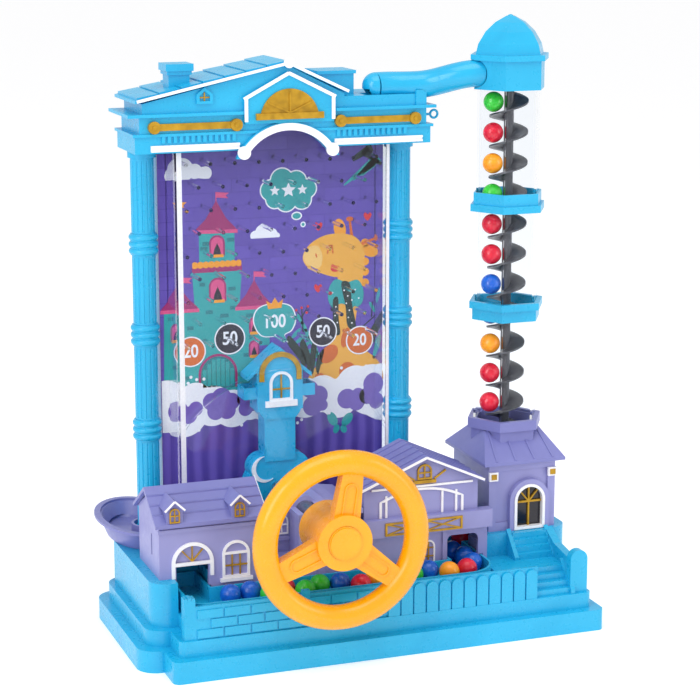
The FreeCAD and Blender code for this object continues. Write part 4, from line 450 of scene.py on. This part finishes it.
def puffs(x, z, circles, flat=None, grow=0.0, count=120):
    """The outer line of circles (x, z, radius) as seen from a point inside."""
    line = []
    for k in range(count):
        ray = Vector((math.cos(2 * math.pi * k / count), math.sin(2 * math.pi * k / count)))
        far = 0.5
        for cx, cz, r in circles:
            to = Vector((cx - x, cz - z))
            along = to.dot(ray)
            inside = (r + grow) ** 2 - (to.length_squared - along ** 2)
            if inside > 0:
                far = max(far, along + math.sqrt(inside))
        point = Vector((x, z)) + ray * far
        if flat is not None and point.y < flat - grow:
            point.y = flat - grow
        line.append(point)
    return line


def strip(p, q, w0, w1):
    """A straight stroke that changes from one width to another."""
    p, q = Vector(p), Vector(q)
    side = (q - p).normalized().orthogonal()
    return [p + side * w0 / 2, p - side * w0 / 2, q - side * w1 / 2, q + side * w1 / 2]


print("a circle of radius 10 spans", round(max(p.x for p in oval(0, 0, 10, 10)), 1), "mm each way")

# %% [markdown]
# ## Turning outlines into ink
# Every outline becomes one face, the face is extruded into a slab, and all the outlines of one
# colour make one object. Printed ink is nearly flat: it shows a faint dot screen and a thin
# varnish over it.

# %% Ink layers
def ink(name, body, deep):
    """Varnished printing ink with a fine screen of dots."""
    finish, tree, out, place = new_finish(name)
    dots = add(tree, "TexNoise", {"Vector": place, "Scale": 1 / (0.7 * MM), "Detail": 1.0})
    colour = shades(tree, dots.outputs["Fac"], [(0.35, deep), (0.6, body)])
    varnish = add(tree, "TexNoise", {"Vector": place, "Scale": 1 / (18 * MM), "Detail": 2.0})
    gloss = add(tree, "MapRange", {"Value": varnish.outputs["Fac"], "To Min": 0.3, "To Max": 0.5})
    shader = add(tree, "BsdfPrincipled", {"Base Color": colour, "Roughness": gloss.outputs["Result"],
                                          "IOR": 1.45})
    tree.links.new(shader.outputs["BSDF"], out.inputs["Surface"])
    return finish


def print_ink(name, finish, level, outlines):
    """One colour of the picture, at its level in front of the card."""
    bm = bmesh.new()
    front = (CARD_Y - INK * level) * MM
    for outline in outlines:
        ring = [bm.verts.new((p[0] * MM, front, p[1] * MM)) for p in outline]
        face = bm.faces.new(ring)
        made = bmesh.ops.extrude_face_region(bm, geom=[face])
        moved = [v for v in made["geom"] if isinstance(v, bmesh.types.BMVert)]
        bmesh.ops.translate(bm, verts=moved, vec=(0.0, 0.8 * INK * MM, 0.0))
    bmesh.ops.triangulate(bm, faces=[f for f in bm.faces if len(f.verts) > 4])
    bmesh.ops.recalc_face_normals(bm, faces=bm.faces)
    mesh = bpy.data.meshes.new(name)
    bm.to_mesh(mesh)
    bm.free()
    add_piece(name, mesh, finish)


teal_ink = ink("teal_printing_ink", "2BA6A6", "259A9B")
deep_teal_ink = ink("deep_teal_printing_ink", "1B7F86", "17757C")
magenta_ink = ink("magenta_printing_ink", "A5296F", "982366")
rose_ink = ink("rose_printing_ink", "E0568B", "D54C82")
orange_ink = ink("orange_printing_ink", "F6A12B", "F09722")
amber_ink = ink("amber_printing_ink", "F3B045", "ECA53A")
rust_ink = ink("rust_printing_ink", "DC6A26", "D06020")
red_ink = ink("red_printing_ink", "E0303A", "D52832")
navy_ink = ink("navy_printing_ink", "201D33", "1A172B")
leaf_ink = ink("dark_leaf_printing_ink", "17302E", "122725")
paper_ink = ink("white_printing_ink", "F4F2F5", "ECE9F0")
violet_ink = ink("violet_printing_ink", "7A62B8", "6F57AE")
print("inks:", sum("printing_ink" in m.name for m in bpy.data.materials))

# %% [markdown]
# ## Sky, clouds and curtain
# Two clouds hang in the sky of the card, and a row of billows crosses it lower down. The foot of
# the card is a curtain of soft folds.

# %% Curtain and clouds
def curtain_finish():
    """Soft folds drawn in violet."""
    finish, tree, out, place = new_finish("violet_printed_curtain")
    folds = add(tree, "TexWave", {"Vector": place, "Scale": 1 / (34 * MM), "Distortion": 1.2,
                                  "Detail": 1.0}, bands_direction="X")
    colour = shades(tree, folds.outputs["Fac"], [(0.1, "4D3894"), (0.9, "6A54B2")])
    shader = add(tree, "BsdfPrincipled", {"Base Color": colour, "Roughness": 0.4})
    tree.links.new(shader.outputs["BSDF"], out.inputs["Surface"])
    return finish


def band(circles, x0, x1, grow=0.0):
    """Upper and lower line of a row of circles, joined into one outline."""
    upper, lower = [], []
    count = 110
    for k in range(count + 1):
        x = x0 + (x1 - x0) * k / count
        spans = [(cz, math.sqrt((r + grow) ** 2 - (x - cx) ** 2))
                 for cx, cz, r in circles if abs(x - cx) < r + grow]
        upper.append(Vector((x, max(cz + h for cz, h in spans))))
        lower.append(Vector((x, min(cz - h for cz, h in spans))))
    return upper + lower[::-1]


print_ink("art_curtain", curtain_finish(), 1, [
    [(-115.0, 56.0), (43.0, 56.0), (43.0, 134.0), (-115.0, 134.0)]])
billows = [(-112, 146, 18), (-100, 140, 16), (-92, 149, 12), (-80, 144, 14), (-66, 141, 13),
           (-54, 144, 12), (-42, 142, 12), (-28, 143, 13), (-14, 144, 14), (-2, 146, 13),
           (10, 142, 14), (22, 150, 14), (34, 146, 18), (43, 144, 20)]
print_ink("art_billows", paper_ink, 5, [band(billows, -115.0, 43.0)])
hollows = [[(-104, 142, 7), (-97, 139, 6), (-92, 143, 5)],
           [(-81, 147, 6), (-74, 149, 7), (-67, 146, 6), (-70, 140, 6), (-78, 140, 6)],
           [(-58, 147, 5), (-52, 144, 6), (-57, 140, 5)],
           [(-11, 150, 6), (-5, 145, 7), (-9, 138, 7), (-2, 138, 4)],
           [(16, 141, 7), (23, 138, 6), (24, 143, 5)],
           [(36, 150, 8), (31, 142, 6), (38, 138, 6)]]
print_ink("art_hollows", violet_ink, 6, [
    puffs(sum(c[0] for c in h) / len(h), sum(c[1] for c in h) / len(h), h) for h in hollows])
high_cloud = [(-99, 304, 8.2), (-106.5, 300.5, 4), (-90, 303, 5), (-83, 301.5, 4.6)]
low_cloud = [(-43.5, 260, 5.4), (-49, 258, 3.4), (-37.5, 258.4, 4.2), (-33.6, 257.4, 2)]
print_ink("art_clouds", paper_ink, 1, [puffs(-95, 302, high_cloud, 297.8),
                                       puffs(-43, 258, low_cloud, 256.2)])
specks = [(-95, 165), (-91, 163), (-97, 161), (-62, 133), (-90, 128), (-60, 129), (-20, 127),
          (-17, 129), (-104, 150), (3, 132), (27, 161), (30, 163), (-86, 163), (12, 163)]
print_ink("art_specks", paper_ink, 7, [oval(x, z, 1.1, 1.1, count=16) for x, z in specks])
print("billows:", len(billows), "circles")

# %% [markdown]
# ## The castle in the picture
# Straight-sided towers in teal, magenta roofs, an amber parapet and rose windows. The windows
# share one outline, drawn at three sizes for the frame, the curtain and the dark inside.

# %% Castle
def arch(x, z, wide, high):
    """A round-headed opening that stands on a line."""
    spring = z + high - wide
    head = [Vector((x + wide * math.cos(a * math.pi / 14), spring + wide * math.sin(a * math.pi / 14)))
            for a in range(15)]
    return [Vector((x + wide, z))] + head + [Vector((x - wide, z))]


print_ink("art_castle", teal_ink, 1, [
    [(-113.5, 152), (-50, 152), (-50, 183), (-39.5, 183), (-39.5, 209.5), (-60.5, 209.5),
     (-58.5, 236), (-63.4, 241), (-63.4, 263), (-87.9, 263), (-87.9, 241), (-93, 236),
     (-90.6, 198), (-91, 211.5), (-112.5, 211.5)]])
print_ink("art_castle_stones", deep_teal_ink, 2, [
    [(x, z), (x + w, z), (x + w, z + 2.6), (x, z + 2.6)]
    for x, z, w in ((-87, 250, 5), (-85.5, 253.2, 5), (-68.5, 255, 5), (-88, 226, 4), (-68, 222, 5),
                    (-84, 207, 5), (-74, 204, 6), (-67, 209, 5), (-110, 204, 5), (-97, 197, 4.5),
                    (-56, 203, 5), (-54, 188, 4), (-88, 187, 5), (-106, 171, 5), (-64, 163, 5),
                    (-58, 176, 4.5), (-101, 163, 5), (-56, 160, 4))])
print_ink("art_roofs", magenta_ink, 3, [
    [(-90.5, 262), (-61.5, 261.4), (-62.3, 264), (-69, 271), (-75.8, 283.1), (-83, 271),
     (-89.7, 264.6)],
    [(-115, 210), (-88.6, 210), (-89.7, 212.6), (-95.5, 218), (-102, 227), (-109, 218), (-114, 212.6)],
    [(-63.2, 208.6), (-37.4, 208.6), (-38.3, 211.6), (-44.5, 218.4), (-50, 228.4), (-56, 218.4),
     (-62.4, 211.6)],
    [(-93, 235.2), (-58.5, 235.2), (-58.5, 239), (-93, 239)]])
print_ink("art_eaves", rose_ink, 4, [
    [(-90.8, 261.4), (-61.2, 260.8), (-61.2, 263.2), (-90.8, 263.8)],
    [(-115, 209), (-88.4, 209), (-88.4, 211.4), (-115, 211.4)],
    [(-63.4, 208.2), (-37.2, 208.2), (-37.2, 210.6), (-63.4, 210.6)]])
print_ink("art_parapet", orange_ink, 4, [
    band([(-91 + 3.8 * k, 240.4, 2.3) for k in range(9)], -92.8, -58.8)])
windows = [(-75.5, 246, 5.4, 14), (-75.5, 215.4, 6.0, 16), (-103, 190, 4.0, 12),
           (-50.5, 192, 3.4, 11), (-50.5, 176, 3.8, 11)]
print_ink("art_window_frames", magenta_ink, 3,
          [arch(*w) for w in windows] + [arch(-76, 156, 13.6, 23.6)])
print_ink("art_window_curtains", rose_ink, 4, [
    arch(x, z + 0.6, w - 1.2, h - 1.9) for x, z, w, h in windows])
print_ink("art_window_insides", navy_ink, 5, [
    [(x - w * 0.5, z + 1), (x + w * 0.5, z + 1), (x + w * 0.38, z + h * 0.3), (x, z + h * 0.62),
     (x - w * 0.38, z + h * 0.3)]
    for x, z, w, h in windows])
print_ink("art_sills", orange_ink, 6, [
    [(x - w * 0.8, z - 1), (x + w * 0.8, z - 1), (x + w * 0.8, z + 1), (x - w * 0.8, z + 1)]
    for x, z, w, h in windows])
print_ink("art_door", deep_teal_ink, 4, [arch(-76, 156, 11.9, 21.9)])
print_ink("art_door_planks", teal_ink, 5, [
    [(x, 157), (x + 2.5, 157), (x + 2.5, 157 + h), (x, 157 + h)]
    for x, h in ((-86.6, 12), (-83.4, 16), (-80.2, 18.6), (-77.0, 19.4), (-73.8, 18.8), (-70.6, 16.6),
                 (-67.4, 12))])
print_ink("art_flags", rose_ink, 4, [
    [(x, z), (x + 0.7, z), (x + 0.7, z + 2.4), (x + 9, z + 1.6), (x + 7, z + 3.4), (x + 9.4, z + 5.2),
     (x + 0.7, z + 6), (x, z + 6)]
    for x, z in ((-76.2, 282.6), (-102.4, 227), (-50.4, 228))])
print("castle windows:", len(windows))

# %% [markdown]
# ## The animal, its scarf and the plants
# A long-necked animal looks over the castle. Its coat is two tones of amber with rust patches,
# and each part is one smooth closed curve.

# %% Animal and plants
print_ink("art_ears", orange_ink, 1, [oval(11, 259.5, 4.3, 7.0, 12), oval(33.2, 243.2, 6.8, 4.2, -12),
                                      *(oval(29.2, z, 3.0, 2.8) for z in (249, 236, 229, 221.5))])
print_ink("art_horns", rust_ink, 2, [
    strip((19.6, 254), (18.2, 264.4), 2.2, 1.6), oval(18.1, 265.8, 2.6, 1.7),
    strip((26, 248), (36, 251.4), 2.2, 1.6), oval(37.6, 252, 1.9, 2.5)])
neck = smooth([(8, 234), (18, 240), (28, 238), (27.5, 224), (23, 200), (20, 182), (12, 176), (5.5, 182),
               (9, 205), (10, 222)])
body = smooth([(-12.5, 157), (-3, 170), (6, 185), (13.5, 190.5), (20, 186), (30, 174), (41, 164.6),
               (42, 150), (14, 146), (-11, 148)])
print_ink("art_neck", amber_ink, 2, [neck])
print_ink("art_body", amber_ink, 3, [body])
print_ink("art_patches", rust_ink, 4, [
    oval(3, 173.5, 7.5, 5.4, 42), oval(24, 176.5, 7.5, 3.4, -20), oval(16.5, 160.5, 6.2, 6.4, 20),
    oval(15, 184, 3.0, 7.0, -14), oval(-4, 158, 3.4, 2.8)])
print_ink("art_head", amber_ink, 3, [smooth([
    (-15.6, 241.6), (-11, 249.6), (-1, 255.2), (11, 256.4), (22, 253.4), (28.2, 245), (28, 234),
    (20, 227.4), (8, 226.6), (-3, 230), (-12, 234.4)])])
print_ink("art_muzzle", ink("cream_printing_ink", "F6C878", "F0BE6A"), 4, [
    smooth([(-15.3, 241.6), (-11.4, 247.8), (-5, 248.6), (-1.6, 242), (-3.4, 234), (-11.6, 235)])])
print_ink("art_face", rust_ink, 5, [
    strip((2.0, 243), (3.2, 248.4), 1.1, 1.3), strip((3.0, 248.4), (5.4, 248.4), 1.2, 1.2),
    strip((5.2, 248.6), (6.0, 243), 1.3, 1.1), oval(-6.0, 242.2, 0.6, 1.6, 15)])
print_ink("art_cheek", red_ink, 5, [oval(7.7, 232.4, 3.4, 2.2)])
print_ink("art_scarf", teal_ink, 5, [smooth([
    (3, 219), (8, 225), (16, 222.5), (24, 223.6), (28, 216), (26.6, 207), (20, 204.5), (12, 208),
    (6, 205.6), (2.6, 211)])])
print_ink("art_scarf_ends", leaf_ink, 6, [
    smooth([(12, 222), (18, 221.5), (19.6, 208), (22.6, 190), (16.6, 192), (15, 206)]),
    smooth([(6, 211), (9.6, 212), (10, 198), (11, 187), (6, 188), (6, 200)])])
print_ink("art_scarf_dots", paper_ink, 7, [
    oval(x, z, 0.55, 0.55, count=12) for x, z in (
        (14, 217), (16.6, 213), (15.6, 208), (17.8, 203), (17, 198), (19.6, 194), (8, 206), (7.4, 200),
        (9, 195), (7.6, 191), (5.6, 216), (22, 217), (24.6, 211), (19.6, 210))])
print_ink("art_dark_leaves", leaf_ink, 4, [
    *(smooth([(x, z), (x + 2.2, z + h * 0.4), (x + dx * 0.7 + 1, z + h),
              (x + dx * 0.6 - 2.4, z + h * 0.8), (x - 1.6, z + h * 0.3)])
      for x, z, h, dx in ((-16, 162, 26, -14), (-12, 161, 24, -6), (-9, 160, 25, 3), (-5, 160, 17, 5))),
    smooth([(30, 176), (33, 188), (39, 196), (43, 201), (42.6, 192), (36, 180)])])
print_ink("art_fronds", teal_ink, 3, [
    *(oval(-23.5 + 3.0 * k, 194 - 4.4 * k, 4.6, 1.4, 52 - 8 * k) for k in range(7)),
    *(oval(-17.5 + 2.6 * k, 199 - 5.2 * k, 4.4, 1.4, 118) for k in range(6)),
    *(strip((14 + 6.5 * k, 289 + 3 * k), (37 + 1.5 * k, 306 + 0.4 * k), 1.0, 6.0) for k in range(3)),
    oval(40, 212, 1.2, 5.4, -12), oval(34.6, 204, 1.2, 4.4, 30), oval(38.6, 176, 2.2, 9, -20)])
print_ink("art_twigs", leaf_ink, 3, [
    strip((-15.6, 190), (-16.4, 206), 1.0, 0.7), strip((-16, 199), (-20, 205), 0.8, 0.6),
    strip((-16.2, 201), (-12.4, 207), 0.8, 0.6), strip((24, 188), (38, 199), 1.0, 0.7),
    strip((34, 197), (34.6, 208), 0.8, 0.6),
    strip((28, 312), (42, 302), 7.0, 2.0), strip((20, 306), (34, 314), 3.0, 6.0)])
print_ink("art_hearts", red_ink, 3, [
    *(smooth([(x, z - 3), (x + 2.8, z + 0.6), (x + 1.8, z + 2.6), (x + 0.1, z + 1.5),
              (x - 1.8, z + 2.8), (x - 2.8, z + 0.4)])
      for x, z in ((-4.7, 219.8), (-4.3, 262.1), (31, 267))),
    *(oval(x, z, 0.9, 0.9, count=16)
      for x, z in ((-16.6, 207), (-20.4, 205.6), (-12, 207.6), (-13, 203.4)))])
print_ink("art_butterfly", teal_ink, 6, [
    oval(5.4, 127.6, 3.2, 5.4, 28), oval(16.2, 126.4, 3.2, 5.2, -38), oval(8.2, 120.2, 2.2, 3.2, -20),
    oval(13.6, 119.8, 2.2, 3.0, 25)])
print_ink("art_star", orange_ink, 2, [[
    (-100 + r * math.sin(k * math.pi / 5), 281.5 + r * math.cos(k * math.pi / 5))
    for k, r in enumerate([4.4, 1.9] * 5)]])
print("curve through the body:", len(body), "points")

# %% [markdown]
# ## Score badges and the thought cloud
# The numbers are plain numerals. A text object is turned into a mesh before its place is applied,
# because flat text follows other rules. The thought cloud carries three stars and no word.

# %% Badges
def numerals(name, body, x, z, high, level):
    """Plain numerals as a thin slab of ink, centred on a point."""
    text = bpy.data.curves.new(name, "FONT")
    text.body = body
    text.align_x, text.align_y = "CENTER", "CENTER"
    text.size = high * MM
    text.extrude = 0.4 * INK * MM
    text.offset = 0.02 * high * MM
    holder = bpy.data.objects.new(name + "_text", text)
    bpy.context.scene.collection.objects.link(holder)
    graph = bpy.context.evaluated_depsgraph_get()
    mesh = bpy.data.meshes.new_from_object(holder.evaluated_get(graph))
    bpy.data.objects.remove(holder)
    mesh.transform(Matrix.Translation((x * MM, (CARD_Y - INK * level + 0.4 * INK) * MM, z * MM))
                   @ Matrix.Rotation(math.pi / 2, 4, "X") @ Matrix.Diagonal((0.86, 1.0, 1.0, 1.0)))
    mesh.materials.clear()
    add_piece(name, mesh, paper_ink)


badges = [(-94.7, 182.3, 10.4, "20"), (-67.5, 189.3, 10.8, "50"), (-1.4, 189.3, 10.2, "50"),
          (25.2, 181.6, 10.0, "20")]
print_ink("art_badge_edges", paper_ink, 7, [oval(x, z, r, r) for x, z, r, _ in badges])
print_ink("art_badges_navy", navy_ink, 8, [
    oval(x, z, r - 0.9, r - 0.9) for x, z, r, label in badges if label == "50"])
print_ink("art_badges_orange", rust_ink, 8, [
    oval(x, z, r - 0.9, r - 0.9) for x, z, r, label in badges if label == "20"])
bubble = smooth([(-50.4, 200), (-47, 208.4), (-36, 211), (-25, 208.6), (-21.4, 200), (-24, 192.4),
                 (-29, 189.4), (-27, 184.6), (-33, 188.6), (-45, 190)])
centre = Vector((-36, 199.6))
print_ink("art_bubble_edge", paper_ink, 7, [[centre + (p - centre) * 1.06 for p in bubble]])
print_ink("art_bubble", teal_ink, 8, [bubble])
print_ink("art_crown", orange_ink, 9, [[
    (-40.4, 207.6), (-31, 208), (-29.8, 214), (-33.2, 211.4), (-35.6, 215.4), (-38.2, 211.2),
    (-41.8, 213.4)]])
for k, (x, z, r, label) in enumerate(badges):
    numerals("art_number_" + str(k), label, x, z, r * 1.15, 9)
numerals("art_number_top", "100", -36, 198.6, 12.5, 9)
thought = [(-38, 288, 6.6), (-30, 294.5, 7.6), (-20, 293, 7), (-12, 288, 6), (-16, 281, 6.4),
           (-27, 280.5, 7), (-35, 282, 6)]
print_ink("art_thought_edge", paper_ink, 1, [
    puffs(-25.4, 287, thought, grow=0.9), oval(-19.7, 269.9, 3.8, 2.9), oval(-15.2, 263.9, 1.9, 1.9)])
print_ink("art_thought", teal_ink, 2, [
    puffs(-25.4, 287, thought), oval(-19.7, 269.9, 2.9, 2.0), oval(-15.2, 263.9, 1.1, 1.1)])
print_ink("art_thought_stars", paper_ink, 3, [[
    (x + s * r * math.sin(k * math.pi / 5), 287.5 + s * r * math.cos(k * math.pi / 5))
    for k, r in enumerate([4.6, 2.1] * 5)] for x, s in ((-35, 0.8), (-25.4, 1.15), (-15.6, 0.8))])

# %% [markdown]
# ## Bright edges of the clear cover
# A clear sheet carries light along inside itself and lets it out at its edges, so the two upright
# edges of the cover shine white. That shine is a painted highlight: each edge gets a thin pale strip
# that lies on the front of the sheet, and the strip's roughness has a grain of two millimetres. The
# left strip is the wider one.

# %% Cover edges
STRIP_T, STRIP_LIFT, STRIP_END = 0.3, 0.2, 6.0

corners = [nodes["clear_cover"].matrix_world @ Vector(c) / MM for c in nodes["clear_cover"].bound_box]
sheet_low = [min(c[k] for c in corners) for k in range(3)]
sheet_high = [max(c[k] for c in corners) for k in range(3)]

# painted highlight: a pale white strip colour stands in for the light that shines at the cover's edges
edge_highlight_paint, tree, out, place = new_finish("painted_highlight_cover_edge")
grain = add(tree, "TexNoise", {"Vector": place, "Scale": 1 / (2 * MM), "Detail": 2.0})
frost = add(tree, "MapRange", {"Value": grain.outputs["Fac"], "To Min": 0.15, "To Max": 0.4})
glow = add(tree, "BsdfPrincipled", {"Base Color": linear("F2F4FA"), "Roughness": frost.outputs["Result"],
                                    "IOR": 1.59, "Alpha": 0.7})
tree.links.new(glow.outputs["BSDF"], out.inputs["Surface"])


def edge_strip(name, x0, x1):
    """A thin upright strip of painted highlight on the front of the clear sheet."""
    bm = bmesh.new()
    bmesh.ops.create_cube(bm, size=1.0)
    size = Vector((x1 - x0, STRIP_T, sheet_high[2] - sheet_low[2] - 2 * STRIP_END)) * MM
    middle = Vector(((x0 + x1) / 2, sheet_low[1] - STRIP_LIFT, (sheet_low[2] + sheet_high[2]) / 2)) * MM
    for vert in bm.verts:
        vert.co = Vector((vert.co.x * size.x, vert.co.y * size.y, vert.co.z * size.z)) + middle
    mesh = bpy.data.meshes.new(name)
    bm.to_mesh(mesh)
    bm.free()
    add_piece(name, mesh, edge_highlight_paint)


# the two strips are painted highlights on the cover's upright edges
edge_strip("cover_edge_painted_highlight_left", sheet_low[0] + 1.0, sheet_low[0] + 4.4)
edge_strip("cover_edge_painted_highlight_right", sheet_high[0] - 2.6, sheet_high[0] - 0.4)
print("cover sheet in mm:", [round(v, 1) for v in sheet_low + sheet_high])
